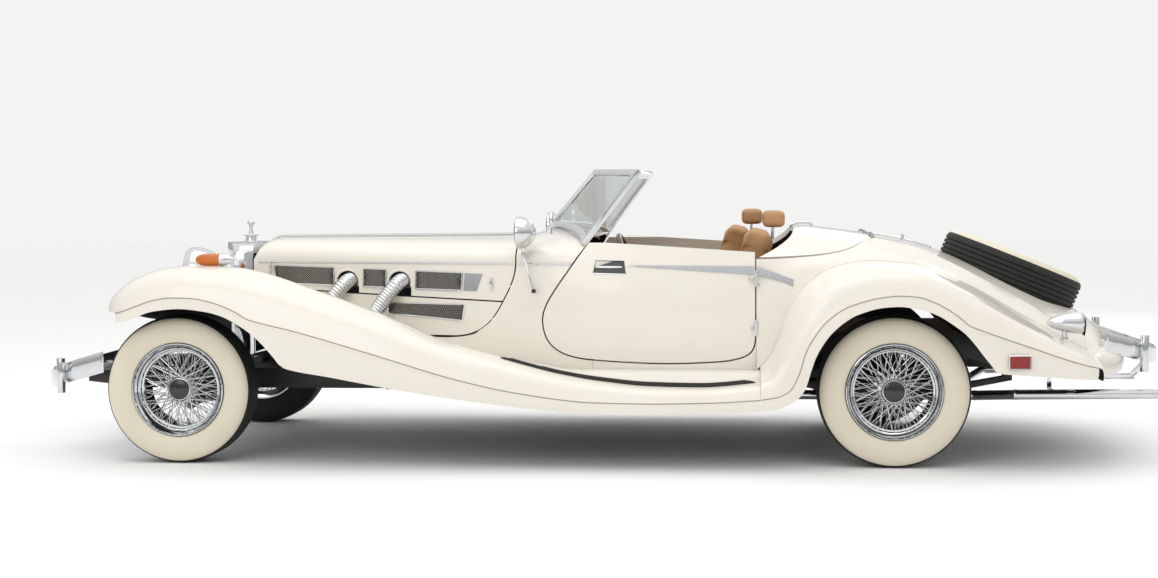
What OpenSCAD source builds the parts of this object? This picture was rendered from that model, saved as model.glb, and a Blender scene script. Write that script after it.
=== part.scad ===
// Two-seat roadster with long bonnet, swept fenders and a spare wheel on the boot lid.
// +X runs to the rear, +Y to the car's right, +Z up. Stations are measured back from the
// front axle and mapped by run(); half widths are mapped by across(). Both follow the sizes below.

/* [Overall] */
// Distance between the front and rear axles
wheelbase = 3190; // [2650:10:3830]
// Width over the fenders
overall_width = 1830; // [1750:10:2200]

/* [Wheels] */
// Outer diameter of a tyre
tyre_diameter = 668; // [560:2:700]
// Width of a tyre
tyre_width = 200; // [165:5:210]
// Diameter over the rim's flange
rim_diameter = 416; // [380:2:440]
// Distance from a tyre's middle plane to the outside of the fender
wheel_inset = 220; // [200:5:240]
// Radius of the spindle that a wheel turns on
spindle_radius = 20; // [15:1:25]
// Radius of the kingpin that a front wheel is steered on
kingpin_radius = 16; // [12:1:20]
// Radial clearance of every shaft in its bore
bore_clearance = 0.08; // [0.03:0.01:0.1]

/* [Body] */
// Thickness of a fender or bonnet skin
skin = 4; // [3:0.5:6]
// Thickness of a door and of the body wall beside it
wall = 45; // [36:1:54]
// Gap round a door, bonnet half or lid
shut_gap = 6.5; // [5:0.5:8]
// Depth of the hood cover and the boot lid
lid_depth = 30; // [24:1:36]

/* [Cabin] */
// Width of a seat
seat_width = 470; // [400:5:480]
// Outer diameter of the steering wheel
steering_wheel_diameter = 400; // [330:5:420]

/* [Hidden] */
$fn = 32;

tyre_radius = tyre_diameter / 2;
axle_z = tyre_radius;
// The stations and half widths of the outlines below are those of this wheelbase and width
drawn_wheelbase = 3190;
drawn_half_width = 915;
seat_gap = 0.95;
fit_gap = 0.4;
front_tip = -855;
rear_tip = 4455;

function clamp01(t) = max(0, min(1, t));
function mix(a, b, t) = a + (b - a) * t;
function run(n) = n + (wheelbase - drawn_wheelbase) * clamp01((n - 500) / 1000);
function across(h) =
  sign(h) * (abs(h) + (overall_width / 2 - drawn_half_width) * clamp01((abs(h) - 250) / 350));
function place(n, h, z) = [run(n), across(h), z];

wheel_h = overall_width / 2 - wheel_inset;
kingpin_h = wheel_h - 95;
rail_in = 330;
rail_out = 390;
rail_low = 300;
rail_high = 390;
floor_z = rail_high;
floor_thick = 5;

// ---- Curves through a few points: value of the outline p = [[x, y], ...] at x ----
function segment(p, x, i = 0) = (i >= len(p) - 2 || x < p[i + 1][0]) ? i : segment(p, x, i + 1);
function secant(p, i) = (p[i + 1][1] - p[i][1]) / (p[i + 1][0] - p[i][0]);
function slope(p, i) =
  i == 0 ? secant(p, 0)
  : i == len(p) - 1 ? secant(p, i - 1)
  : let(a = secant(p, i - 1), b = secant(p, i)) a * b <= 0 ? 0 : 2 * a * b / (a + b);
function curve(p, x) =
  x <= p[0][0] ? p[0][1]
  : x >= p[len(p) - 1][0] ? p[len(p) - 1][1]
  : let(i = segment(p, x), d = p[i + 1][0] - p[i][0], t = (x - p[i][0]) / d)
    (2 * t ^ 3 - 3 * t ^ 2 + 1) * p[i][1] + (t ^ 3 - 2 * t ^ 2 + t) * d * slope(p, i)
    + (3 * t ^ 2 - 2 * t ^ 3) * p[i + 1][1] + (t ^ 3 - t ^ 2) * d * slope(p, i + 1);
// Smooth line through the points p, at t from 0 to len(p) - 1
function through(p, t) =
  let(i = min(len(p) - 2, floor(t)), f = t - i, b = p[i], c = p[i + 1],
      a = i > 0 ? p[i - 1] : 2 * b - c, d = i < len(p) - 2 ? p[i + 2] : 2 * c - b)
  0.5 * (2 * b + (c - a) * f + (2 * a - 5 * b + 4 * c - d) * f ^ 2
         + (3 * b - a - 3 * c + d) * f ^ 3);
function smooth(p, steps) = [for (k = [0 : (len(p) - 1) * steps]) through(p, k / steps)];
// Values from a to b in n equal steps
function steps(a, b, n) = [for (k = [0 : n]) mix(a, b, k / n)];

// ---- Skins: a grid of points and the same grid moved inwards make one closed solid ----
function unit(v) = v / norm(v);
function normal_at(g, i, j) =
  let(n = len(g) - 1, m = len(g[0]) - 1,
      a = g[min(n, i + 1)][j] - g[max(0, i - 1)][j],
      b = g[i][min(m, j + 1)] - g[i][max(0, j - 1)])
  unit(cross(a, b));
function inwards(g, t) =
  [for (i = [0 : len(g) - 1]) [for (j = [0 : len(g[0]) - 1]) g[i][j] - t * normal_at(g, i, j)]];
function quad(a, b, c, d) = [[a, b, c], [a, c, d]];
module skin_between(outer, inner) {
  n = len(outer);
  m = len(outer[0]);
  function o(i, j) = i * m + j;
  function k(i, j) = n * m + i * m + j;
  faces = [
    for (i = [0 : n - 2], j = [0 : m - 2])
      each quad(o(i, j), o(i, j + 1), o(i + 1, j + 1), o(i + 1, j)),
    for (i = [0 : n - 2], j = [0 : m - 2])
      each quad(k(i, j), k(i + 1, j), k(i + 1, j + 1), k(i, j + 1)),
    for (j = [0 : m - 2]) each quad(o(0, j + 1), o(0, j), k(0, j), k(0, j + 1)),
    for (j = [0 : m - 2])
      each quad(o(n - 1, j), o(n - 1, j + 1), k(n - 1, j + 1), k(n - 1, j)),
    for (i = [0 : n - 2]) each quad(o(i, 0), o(i + 1, 0), k(i + 1, 0), k(i, 0)),
    for (i = [0 : n - 2])
      each quad(o(i + 1, m - 1), o(i, m - 1), k(i, m - 1), k(i + 1, m - 1))
  ];
  polyhedron(concat([for (r = outer) each r], [for (r = inner) each r]), faces, convexity = 8);
}
module panel(grid, thickness) skin_between(grid, inwards(grid, thickness));
// Solid through closed rings of points, with flat ends
module loft(rings) {
  n = len(rings);
  m = len(rings[0]);
  faces = [
    for (i = [0 : n - 2], j = [0 : m - 1])
      each quad(i * m + j, i * m + (j + 1) % m, (i + 1) * m + (j + 1) % m, (i + 1) * m + j),
    for (j = [1 : m - 2]) [0, j + 1, j],
    for (j = [1 : m - 2]) [(n - 1) * m, (n - 1) * m + j, (n - 1) * m + j + 1]
  ];
  polyhedron([for (r = rings) each r], faces, convexity = 8);
}

// ---- Small helpers ----
// Moves the middle of the car's length to X = 0
module centred() translate([-(run(front_tip) + run(rear_tip)) / 2, 0, 0]) children();
module on_left() mirror([0, 1, 0]) children();
module both_sides() {
  children();
  on_left() children();
}
module rod(a, b, r) {
  d = b - a;
  translate(a) rotate([0, acos(d[2] / norm(d)), atan2(d[1], d[0])]) cylinder(h = norm(d), r = r);
}
// Rectangular bar from a to b: w across, t along the bar's own third direction
module bar(a, b, w, t) {
  d = b - a;
  translate(a) rotate([0, acos(d[2] / norm(d)), atan2(d[1], d[0])])
    translate([-t / 2, -w / 2, 0]) cube([t, w, norm(d)]);
}
module block(n0, n1, h0, h1, z0, z1) {
  a = place(n0, h0, z0);
  translate(a) cube(place(n1, h1, z1) - a);
}
// Prism through the whole width over an outline in station and height
module side_prism(outline, h0 = 5, h1 = 1100) {
  translate([0, h1, 0]) rotate([90, 0, 0]) linear_extrude(h1 - h0)
    polygon([for (p = outline) [run(p[0]), p[1]]]);
}

// ---- Body lines: half width and height against station ----
shoulder_z = 889;
shoulder_h = [[205, 248], [1511, 590], [1700, 648], [1900, 684], [2200, 697], [2600, 700], [2900, 690]];
belly = [[205, 0], [1500, 18], [1900, 25]];
function side_h(n, z) =
  across(curve(shoulder_h, n)) + curve(belly, n) * (1 - ((z - 640) / 250) ^ 2);
hood_top = [[211, 925], [222, 955], [245, 982], [290, 996], [1500, 1003], [1620, 1030], [1880, 1012]];
// The bonnet and scuttle meet on this line, seen from the side
scuttle_line = smooth([[1512, 1100], [1512, 950], [1510, 864], [1492, 799], [1460, 734], [1420, 665],
                       [1370, 610], [1300, 572], [1200, 557], [1100, 556]], 2);
seam_z = [[211, 775], [652, 753], [1440, 722], [1560, 718]];
// The door's outline, front top corner first, then down and back
door_line = concat(
  smooth([[1858, 990], [1818, 937], [1760, 855], [1705, 777], [1662, 705], [1645, 640], [1660, 565],
          [1705, 512], [1790, 478], [1950, 462], [2190, 453], [2400, 460], [2500, 472], [2560, 496],
          [2584, 535], [2589, 600]], 2),
  [[2589, 941]]);
door_top = [[1620, 1012], [1858, 980], [2347, 955], [2589, 938], [2700, 930]];

module bonnet_region(grow = 0) {
  side_prism(concat([[0, 1100]],
    [for (p = scuttle_line) [p[0] + grow, p[1] - (p[0] < 1330 ? grow : 0)]],
    [[0, 556 - grow]]), h0 = -50);
}

// ---- Front fender and running board ----
crest_z = [[-331, 690], [-322, 728], [-300, 760], [-238, 813], [-170, 848], [-74, 876], [60, 889],
           [154, 888], [287, 879], [400, 855], [637, 776], [882, 690], [1044, 625], [1189, 562],
           [1350, 515], [1480, 482], [1732, 418], [1909, 388], [2129, 366], [2348, 362], [2610, 384]];
crest_h = [[-331, 712], [0, 708], [900, 730], [1200, 765], [1560, 800], [2610, 830]];
bead_z = [[-331, 684], [-261, 696], [-176, 718], [-73, 745], [12, 756], [105, 754], [197, 737],
          [289, 703], [372, 658], [427, 643], [565, 610], [917, 508], [1313, 391], [1564, 338],
          [1896, 299], [2147, 295], [2395, 300], [2610, 312]];
bead_h = [[-331, 850], [-250, 885], [-100, 905], [200, 913], [900, 915], [2610, 915]];
lip_z = [[-331, 640], [-254, 648], [-198, 663], [-76, 696], [50, 707], [167, 695], [241, 676],
         [314, 639], [378, 595], [424, 553], [469, 503], [519, 447], [722, 407], [1177, 327],
         [1643, 268], [1895, 250], [2146, 246], [2395, 252], [2610, 262]];
inner_z = [[-331, 655], [-250, 640], [-100, 615], [150, 600], [600, 560], [1200, 500], [1560, 455],
           [1800, 425], [2610, 425]];
nose_h = [[-331, 560], [-200, 490], [-60, 400], [60, 310], [205, 250]];
inner_shoulder_h = [[-331, 615], [0, 580], [400, 585], [860, 600], [1200, 660], [1560, 730],
                    [1800, 768], [2610, 778]];
function inner_h(n) =
  n < 205 ? across(curve(nose_h, n)) : side_h(n, curve(inner_z, n)) + seat_gap;
function front_fender_row(n) =
  let(zi = curve(inner_z, n), zc = curve(crest_z, n), zb = curve(bead_z, n), zl = curve(lip_z, n),
      hi = inner_h(n) + 8, hs = max(hi + 12, across(curve(inner_shoulder_h, n))),
      hc = across(curve(crest_h, n)), hb = across(curve(bead_h, n)),
      line = [[hi, zi], [mix(hi, hs, 0.6), mix(zi, zc, 0.16)], [hs, mix(zi, zc, 0.66)], [hc, zc],
              [mix(hc, hb, 0.74), mix(zb, zc, 0.72)], [hb, zb]],
      pull = 75 * clamp01((100 - n) / 431) ^ 2)
  [for (p = concat([[hi - 8, zi]], smooth(line, 3), [[hb - 2, mix(zl, zb, 0.5)], [hb - 5, zl]]))
    [run(n) + pull * ((p[0] - hc) / (hb - hc)) ^ 2, p[0], p[1]]];
front_fender_stations = [-331, -327, -319, -305, -282, -250, -205, -145, -75, 0, 80, 160, 240, 320,
                         400, 480, 580, 700, 850, 1020, 1200, 1400, 1500, 1600, 1700, 1800, 1850,
                         1900, 1960, 2050, 2175, 2300, 2450, 2610];
module front_fender()
  color("ivory") panel([for (n = front_fender_stations) front_fender_row(n)], skin);

// ---- Rear quarter: one section line runs from the lids' edge down to the rear fender's lip ----
gap_h = [[2595, 694], [2843, 660], [3012, 600], [3079, 556], [3112, 508], [3130, 500], [4050, 470]];
gap_z = [[2595, 911], [2663, 912], [2843, 922], [2944, 935], [3012, 954], [3079, 985], [3118, 996],
         [3150, 992], [3251, 966], [3347, 936], [3448, 891], [3637, 792], [3816, 693], [3886, 647],
         [3990, 590], [4050, 556], [4125, 520]];
deck_z = [[2595, 1040], [2800, 1044], [2937, 1030], [3033, 1018], [3118, 1005], [3250, 982],
          [3450, 925], [3600, 868], [3750, 805], [3886, 745], [4050, 664], [4125, 622]];
deck_power = [[2700, 4], [3100, 3], [3400, 2.2]];
middle_h = [[2595, 722], [2790, 702], [2945, 672], [3095, 610], [3300, 575], [3600, 550], [4050, 510]];
middle_z = [[2595, 670], [2660, 760], [2790, 866], [2945, 908], [3095, 948], [3251, 928], [3448, 850],
            [3637, 762], [3816, 664], [3950, 588], [4050, 533]];
valley_h = [[2595, 726], [2790, 722], [2945, 695], [3095, 665], [3275, 645], [3510, 620], [3745, 600],
            [3930, 570], [4050, 540]];
valley_z = [[2595, 425], [2640, 470], [2680, 545], [2720, 660], [2790, 780], [2945, 880], [3095, 903],
            [3275, 888], [3510, 800], [3745, 668], [3930, 563], [4050, 500]];
crown_h = [[2595, 850], [2790, 838], [3095, 805], [3510, 790], [3930, 735], [4050, 690]];
crown_z = [[2595, 384], [2650, 412], [2700, 490], [2750, 606], [2790, 690], [2850, 770], [2945, 838],
           [3095, 875], [3200, 876], [3330, 850], [3510, 762], [3745, 635], [3930, 540], [4050, 480]];
rear_bead_h = [[2595, 915], [3100, 915], [3500, 908], [3800, 880], [3950, 850], [4050, 800]];
rear_bead_z = [[2595, 311], [2684, 326], [2735, 352], [2774, 419], [2808, 526], [2846, 592],
               [2890, 647], [2944, 691], [2998, 719], [3120, 752], [3196, 760], [3271, 756],
               [3330, 739], [3406, 700], [3458, 663], [3495, 632], [3540, 614], [3756, 537],
               [3977, 462], [4050, 443]];
rear_lip_z = [[2595, 261], [2684, 273], [2725, 290], [2770, 318], [2792, 343], [2808, 376],
              [2825, 432], [2846, 493], [2879, 553], [2917, 602], [2971, 649], [3025, 680],
              [3134, 710], [3198, 714], [3257, 708], [3312, 695], [3366, 674], [3419, 641],
              [3474, 600], [3516, 554], [3554, 504], [3592, 456], [3612, 430], [3726, 419],
              [4050, 392]];
function quarter_line(n) = [
  [across(curve(gap_h, n)), curve(gap_z, n)],
  [across(curve(middle_h, n)), curve(middle_z, n)],
  [across(curve(valley_h, n)), curve(valley_z, n)]];
function fender_line(n) =
  let(hv = across(curve(valley_h, n)), zv = curve(valley_z, n), hc = across(curve(crown_h, n)),
      zc = curve(crown_z, n), hb = across(curve(rear_bead_h, n)), zb = curve(rear_bead_z, n))
  [[hv + seat_gap, zv - seat_gap], [hc, zc], [mix(hc, hb, 0.72), mix(zb, zc, 0.72)], [hb, zb]];
function rear_fender_row(n) =
  let(line = fender_line(n), e = line[3], zl = curve(rear_lip_z, n))
  [for (p = concat(smooth(line, 3), [[e[0] - 2, mix(zl, e[1], 0.5)], [e[0] - 5, zl]]))
    [run(n), p[0], p[1]]];
rear_fender_stations = [2611, 2645, 2680, 2710, 2740, 2768, 2792, 2815, 2840, 2870, 2910, 2960, 3025,
                        3100, 3190, 3280, 3360, 3430, 3490, 3545, 3590, 3612, 3690, 3800, 3920, 4000,
                        4050];
module rear_fender()
  color("ivory") panel([for (n = rear_fender_stations) rear_fender_row(n)], skin);

// ---- Deck: surface under the hood cover and the boot lid, at half width h ----
function deck_at(n, h) =
  let(zg = curve(gap_z, n), zc = curve(deck_z, n))
  zg + (zc - zg) * (1 - clamp01(abs(h) / across(curve(gap_h, n))) ^ curve(deck_power, n));
function lid_h(n) = across(curve(gap_h, n)) - shut_gap - skin;
function cover_front(f) = mix(2608, 2768, 1 - abs(f) ^ 7);
function lid_rear(f) = mix(4044, 4112, 1 - f ^ 2);
hinge_n = 3115;
cover_end = hinge_n - 9;
lid_start = hinge_n + 9;
hinge_z = 1011.5;

module hood_cover() {
  grid = [for (t = steps(0, 1, 14)) [for (f = steps(-1, 1, 16))
    let(n = mix(cover_front(f), cover_end, t), h = f * lid_h(n)) [run(n), h, deck_at(n, h)]]];
  color("ivory") panel(grid, lid_depth);
  lid_hinge([-330, 110], -1);
}
// Barrels on the lids' common pin, each with a leaf onto the lid on side d
module lid_hinge(places, d)
  color("silver") difference() {
    for (h = places) union() {
      translate([run(hinge_n), across(h), hinge_z]) rotate([-90, 0, 0])
        cylinder(h = 36, r = hinge_barrel);
      translate([run(hinge_n) + (d < 0 ? -22 : 5), across(h), hinge_z - 10]) cube([17, 36, 9]);
    }
    translate([run(hinge_n), -600, hinge_z]) rotate([-90, 0, 0])
      cylinder(h = 1200, r = hinge_pin + bore_clearance);
  }

// The spare lies in a round well in the boot lid, tipped to the lid's slope
spare_tilt = 22.4;
spare_n = 3784;
spare_z = 815;
well_gap = 6;
module at_spare() translate([run(spare_n), 0, spare_z]) rotate([0, spare_tilt, 0]) children();
module boot_lid() {
  grid = [for (t = steps(0, 1, 16)) [for (f = steps(-1, 1, 14))
    let(n = mix(lid_start, lid_rear(f), t), h = f * lid_h(n)) [run(n), h, deck_at(n, h)]]];
  below = [for (row = grid) [for (p = row) p - [0, 0, 420]]];
  color("ivory") difference() {
    union() {
      panel(grid, 18);
      intersection() {
        at_spare() translate([0, 0, -tyre_width / 2 - well_gap - 5])
          cylinder(h = tyre_width + 40, r = tyre_radius + well_gap + 5, $fn = 64);
        skin_between(grid, below);
      }
    }
    at_spare() translate([0, 0, -tyre_width / 2 - well_gap])
      cylinder(h = 600, r = tyre_radius + well_gap, $fn = 64);
  }
  lid_hinge([-400, 250], 1);
  // Carrier that the spare is bolted to
  color("dimgray") at_spare() translate([0, 0, -tyre_width / 2 - well_gap - 1])
    cylinder(h = tyre_width / 2 + well_gap + 1 + hub_length / 2 - 68 - fit_gap, r = 55);
}

// ---- Body shell: scuttle, sides round the doors, rear quarters ----
function section_top(n, a) =
  let(w = side_h(n, shoulder_z), zt = curve(hood_top, n), q = 0.72)
  [run(n), w * sin(a) ^ q, shoulder_z + (zt - shoulder_z) * cos(a) ^ q];
// Height of the scuttle at station n and half width h
function scuttle_z(n, h) =
  let(a = asin(clamp01(h / side_h(n, shoulder_z)) ^ (1 / 0.72)))
  shoulder_z + (curve(hood_top, n) - shoulder_z) * cos(a) ^ 0.72;
function section_side(n, z) = [run(n), side_h(n, z), z];
body_foot = floor_z + floor_thick + fit_gap;
module scuttle_half() {
  grid = [for (n = [1100, 1200, 1300, 1380, 1450, 1500, 1540, 1600, 1680, 1760, 1830, 1868])
    concat([for (a = steps(0, 90, 9)) section_top(n, a)],
           [for (z = [860, 800, 730, 660, 590, 520, 460, 425, body_foot]) section_side(n, z)])];
  difference() {
    panel(grid, 8);
    bonnet_region(shut_gap);
    side_prism(door_opening, 300);
  }
}
module door_slab(n0, n1, rows)
  panel([for (n = steps(n0, n1, rows)) [for (z = [985, 940, 889, 820, 740, 660, 580, 500, 450, 425, body_foot])
    section_side(n, z)]], wall);
// The opening is the door's outline moved out by the shut gap
door_opening = [for (i = [0 : len(door_line) - 1])
  let(p = door_line[i], last = len(door_line) - 1,
      d = unit(door_line[min(last, i + 1)] - door_line[max(0, i - 1)]))
  i == 0 ? p + [-shut_gap, 200] : i == last ? p + [shut_gap, 200]
  : p + shut_gap * [d[1], -d[0]]];
quarter_stations = [2595, 2640, 2680, 2720, 2760, 2800, 2850, 2910, 2960, 3010, 3040, 3065, 3085, 3100,
                    3115, 3135, 3180, 3250, 3350, 3450, 3550, 3650, 3750, 3850, 3950, 4050];
door_hinge_n = 2592;
door_hinge_h = across(732.5);
door_hinge_z = [610, 828];
module body_shell() {
  color("ivory") both_sides() {
    scuttle_half();
    difference() {
      door_slab(1869, 2594, 6);
      side_prism(door_opening, 300);
      side_prism([[1868, 940], [2700, 940], [2700, 1100], [1868, 1100]], 300);
    }
    panel([for (n = quarter_stations) [for (p = smooth(quarter_line(n), 4)) [run(n), p[0], p[1]]]],
          skin);
    // Posts and pins that the doors turn on
    for (z = door_hinge_z) {
      for (e = [-36, 24]) translate([run(door_hinge_n) - 5, 640, z + e])
        cube([36, door_hinge_h - 635, 12]);
      translate([run(door_hinge_n), door_hinge_h, z - 36]) cylinder(h = 72, r = hinge_pin);
    }
    block(2599, 2640, 600, 668, 500, 870);
  }
  // Pin along the middle of the bonnet, held on the scuttle
  color("silver") rod(place(212, 0, bonnet_hinge_z), place(1530, 0, bonnet_hinge_z), hinge_pin);
  color("silver") block(1514, 1530, -12, 12, 990, bonnet_hinge_z);
  // Cross beam with the pin that the hood cover and the boot lid share
  color("ivory") {
    block(hinge_n - 8, hinge_n + 8, -606, 606, 900, 940);
    for (h = [-440, 0, 440]) block(hinge_n - 5, hinge_n + 5, h - 10, h + 10, 935, hinge_z + 4);
    translate([run(hinge_n), -across(460), hinge_z]) rotate([-90, 0, 0])
      cylinder(h = 2 * across(460), r = hinge_pin);
  }
}
module door() {
  color("ivory") difference() {
    intersection() {
      door_slab(1640, 2592, 8);
      side_prism(door_line, 300);
    }
    for (z = door_hinge_z) block(2560, 2600, 600, 800, z - 42, z - 22);
    for (z = door_hinge_z) block(2560, 2600, 600, 800, z + 22, z + 42);
  }
  color("silver") difference() {
    for (z = door_hinge_z) union() {
      translate([run(door_hinge_n), door_hinge_h, z - 22]) cylinder(h = 44, r = hinge_barrel);
      translate([run(door_hinge_n) - 30, door_hinge_h - 12, z - 22]) cube([30, 12, 44]);
    }
    for (z = door_hinge_z) translate([run(door_hinge_n), door_hinge_h, z - 50])
      cylinder(h = 100, r = hinge_pin + bore_clearance);
  }
}

// ---- Bonnet ----
pipe_stations = [702, 962];
pipe_half = 62;
hinge_pin = 4;
hinge_barrel = 7;
bonnet_hinge_z = 1013;
module bonnet(first_barrels) {
  grid = [for (n = [211, 222, 240, 265, 300, 420, 600, 800, 1000, 1200, 1350, 1440, 1518])
    concat([for (a = concat([asin((5 / side_h(n, shoulder_z)) ^ (1 / 0.72))], steps(10, 90, 8)))
              section_top(n, a)],
           [for (t = [0.33, 0.66, 1]) section_side(n, mix(shoulder_z, curve(seam_z, n), t))])];
  color("ivory") difference() {
    intersection() {
      panel(grid, skin);
      bonnet_region();
    }
    for (n = pipe_stations) block(n - pipe_half, n + pipe_half, 200, 800, 600, 862);
  }
  color("silver") difference() {
    for (n = first_barrels) union() {
      rod(place(n, 0, bonnet_hinge_z), place(n + 40, 0, bonnet_hinge_z), hinge_barrel);
      translate([run(n), 3, curve(hood_top, n) - 2]) cube([40, 14, bonnet_hinge_z - curve(hood_top, n) + 2]);
    }
    rod(place(200, 0, bonnet_hinge_z), place(1600, 0, bonnet_hinge_z), hinge_pin + bore_clearance);
  }
}
module engine_side_panels()
  color("ivory") both_sides() difference() {
    intersection() {
      panel([for (n = [211, 420, 640, 860, 1080, 1300, 1400, 1518])
        [for (t = [0, 0.35, 0.7, 1]) section_side(n, mix(curve(seam_z, n) - shut_gap, 560, t))]], skin);
      bonnet_region();
    }
    for (n = pipe_stations) block(n - 120, n + 40, 200, 800, 690, 900);
  }

// ---- Tail: from the end of the lid down and out over the roll at the bottom ----
tail_low = 385;
function tail_start(h) = lid_rear(clamp01(abs(h) / across(480))) + shut_gap;
function tail_top(h) = abs(h) < across(470) ? deck_at(tail_start(h), h)
  : curve([[across(470), 556], [across(510), 533], [across(540), 500], [across(690), 480],
           [across(770), 466], [across(800), 444]], abs(h));
function corner(h) = 190 * clamp01((abs(h) - across(500)) / 300) ^ 2;
function tail_column(h) =
  let(zt = tail_top(h), pull = 0.0003 * h ^ 2 + corner(h), zk = min(505, zt - 6),
      start = tail_start(h), crease = max(4066, 4192 - pull), roll = max(4078, 4287 - pull),
      line = concat(
        [[start, zt], [mix(start, crease, 0.5), mix(zt, zk, 0.3)],
         [mix(start, crease, 0.84), mix(zt, zk, 0.65)], [crease, zk]],
        [for (p = [[0.45, 0.93], [0.86, 0.72], [1, 0.4], [0.86, 0.12], [0.3, 0]])
          [mix(crease, roll, p[0]), mix(tail_low, zk, p[1])]]))
  [for (p = line) [run(p[0]), h, p[1]]];
module tail_panel() {
  columns = [for (h = steps(-across(796), across(796), 22)) tail_column(h)];
  grid = [for (i = [0 : len(columns[0]) - 1]) [for (c = columns) c[i]]];
  color("ivory") panel(grid, skin);
}

// ---- Chassis ----
rail_line = [[-560, 330], [-300, rail_low], [2690, rail_low], [2900, 470], [3480, 470], [3700, 400],
             [4120, 400], [4120, 470], [3720, 470], [3500, 560], [2880, 560], [2680, rail_high],
             [-300, rail_high], [-560, 380]];
jack_stations = [900, 2450];
jack_pad_depth = 6;
module chassis_frame() {
  color("dimgray") {
    both_sides() side_prism(rail_line, across(rail_in), across(rail_out));
    both_sides() for (n = jack_stations)
      block(n - 30, n + 30, rail_in + 6, rail_out - 6, rail_low - jack_pad_depth, rail_low + 5);
    for (n = [-380, 150, 1300])
      block(n - 40, n + 40, -rail_in, rail_in, rail_low + 5, rail_high - 5);
    block(2260, 2340, -rail_in, rail_in, rail_low + 5, rail_low + 45);
    both_sides() block(130, 170, 150, 210, rail_high - 10, rad_low - fit_gap);
    both_sides() block(4060, 4120, rail_in, rail_out, 350, 402);
    for (n = [2900, 3420]) block(n - 40, n + 40, -rail_in, rail_in, 500, 555);
    block(4020, 4060, -rail_in, rail_in, 410, 465);
    both_sides() for (n = [1640, 2120, 2560])
      block(n - 30, n + 30, rail_out, 680, 340, rail_high);
  }
}
differential_h = 80;
differential_r = 125;
module engine_and_driveline()
  color("gray") {
    block(340, 1080, -190, 190, rail_high + 1, 800);
    block(1080, 1560, -130, 130, rail_high + 1, 560);
    both_sides() block(500, 560, 185, rail_in + 10, rail_high + 0.3, 440);
    rod(place(1540, 0, 440), place(drawn_wheelbase - differential_r - 1, 0, axle_z), 30);
  }
module fuel_tank()
  color("dimgray") block(3560, 3990, -rail_in + fit_gap, rail_in - fit_gap, 400, 520);

arm_low = axle_z - 79;
arm_high = axle_z + 76;
module front_suspension() {
  color("dimgray") {
    block(-60, 60, -rail_out, rail_out, 235, rail_low);
    both_sides() difference() {
      union() {
        for (n = [-110, 110]) bar(place(n * 0.45, rail_out - 20, 262), [0, kingpin_h, arm_low], 34, 26);
        bar(place(0, rail_out - 30, rail_high + 16), [0, kingpin_h, arm_high], 34, 26);
        block(-40, 40, rail_in, rail_out, rail_high, rail_high + 34);
        translate([0, kingpin_h, arm_low - 20]) cylinder(h = 40, r = 28);
        translate([0, kingpin_h, arm_high - 20]) cylinder(h = 40, r = 28);
      }
      translate([0, kingpin_h, 0]) cylinder(h = 1000, r = kingpin_radius + bore_clearance);
    }
  }
}
module knuckle() {
  color("silver") difference() {
    union() {
      translate([0, kingpin_h, arm_low - 26]) cylinder(h = arm_high - arm_low + 52, r = kingpin_radius);
      translate([0, kingpin_h, arm_low + 21]) cylinder(h = arm_high - arm_low - 42, r = 34);
      translate([0, kingpin_h, axle_z]) rotate([-90, 0, 0]) cylinder(h = 60, r = 42);
      translate([0, kingpin_h + 60, axle_z]) rotate([-90, 0, 0]) cylinder(h = 5, r = 70);
      translate([0, kingpin_h, axle_z]) rotate([-90, 0, 0])
        cylinder(h = wheel_h + 62 - kingpin_h, r = spindle_radius);
      bar([20, kingpin_h, axle_z - 20], [140, kingpin_h - 40, axle_z - 20], 24, 20);
    }
  }
}
module rear_axle() {
  color("dimgray") {
    translate([run(drawn_wheelbase), 0, axle_z]) rotate([-90, 0, 0]) {
      translate([0, 0, -kingpin_h - 60]) cylinder(h = 2 * (kingpin_h + 60), r = 38);
      translate([0, 0, -wheel_h - 62]) cylinder(h = 2 * (wheel_h + 62), r = spindle_radius);
      translate([0, 0, -differential_h]) cylinder(h = 2 * differential_h, r = differential_r);
      for (s = [-1, 1]) translate([0, 0, s * (kingpin_h + 62.5) - 2.5]) cylinder(h = 5, r = 70);
    }
    both_sides() {
      side_prism([[2640, 352], [2900, 300], [3190, 276], [3480, 300], [3740, 352], [3740, 376],
                  [3480, 328], [3190, 306], [2900, 328], [2640, 376]],
                 across(rail_out) + 1, across(rail_out) + 51);
      block(3150, 3230, rail_out + 1, rail_out + 51, 300, 340);
      block(2640, 2680, rail_out, rail_out + 51, 352, 372);
      block(3700, 3740, rail_out, rail_out + 51, 352, 420);
    }
  }
}

// ---- Wheels, drawn with the axle along Y and the outside towards +Y ----
rim_radius = rim_diameter / 2;
barrel_radius = rim_radius - 20;
rim_half = min(85, tyre_width / 2 - 15);
hub_length = 130;
module wheel(bore = spindle_radius + bore_clearance) {
  color("silver") rotate([-90, 0, 0]) rotate_extrude($fn = 64) polygon([
    [bore, hub_length / 2 - 68], [60, hub_length / 2 - 68], [60, 10], [barrel_radius - 7, -8],
    [barrel_radius - 7, -rim_half + 6], [rim_radius - 6, -rim_half], [rim_radius, -rim_half - 6],
    [rim_radius, -rim_half], [rim_radius - 4, -rim_half + 6], [barrel_radius, -rim_half + 14],
    [barrel_radius, rim_half - 14], [rim_radius - 4, rim_half - 6], [rim_radius, rim_half],
    [rim_radius, rim_half + 6], [rim_radius - 6, rim_half], [barrel_radius - 7, rim_half - 8],
    [barrel_radius - 7, 2], [60, 34], [60, hub_length / 2 - 12], [48, hub_length / 2],
    [bore, hub_length / 2]]);
}
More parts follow.
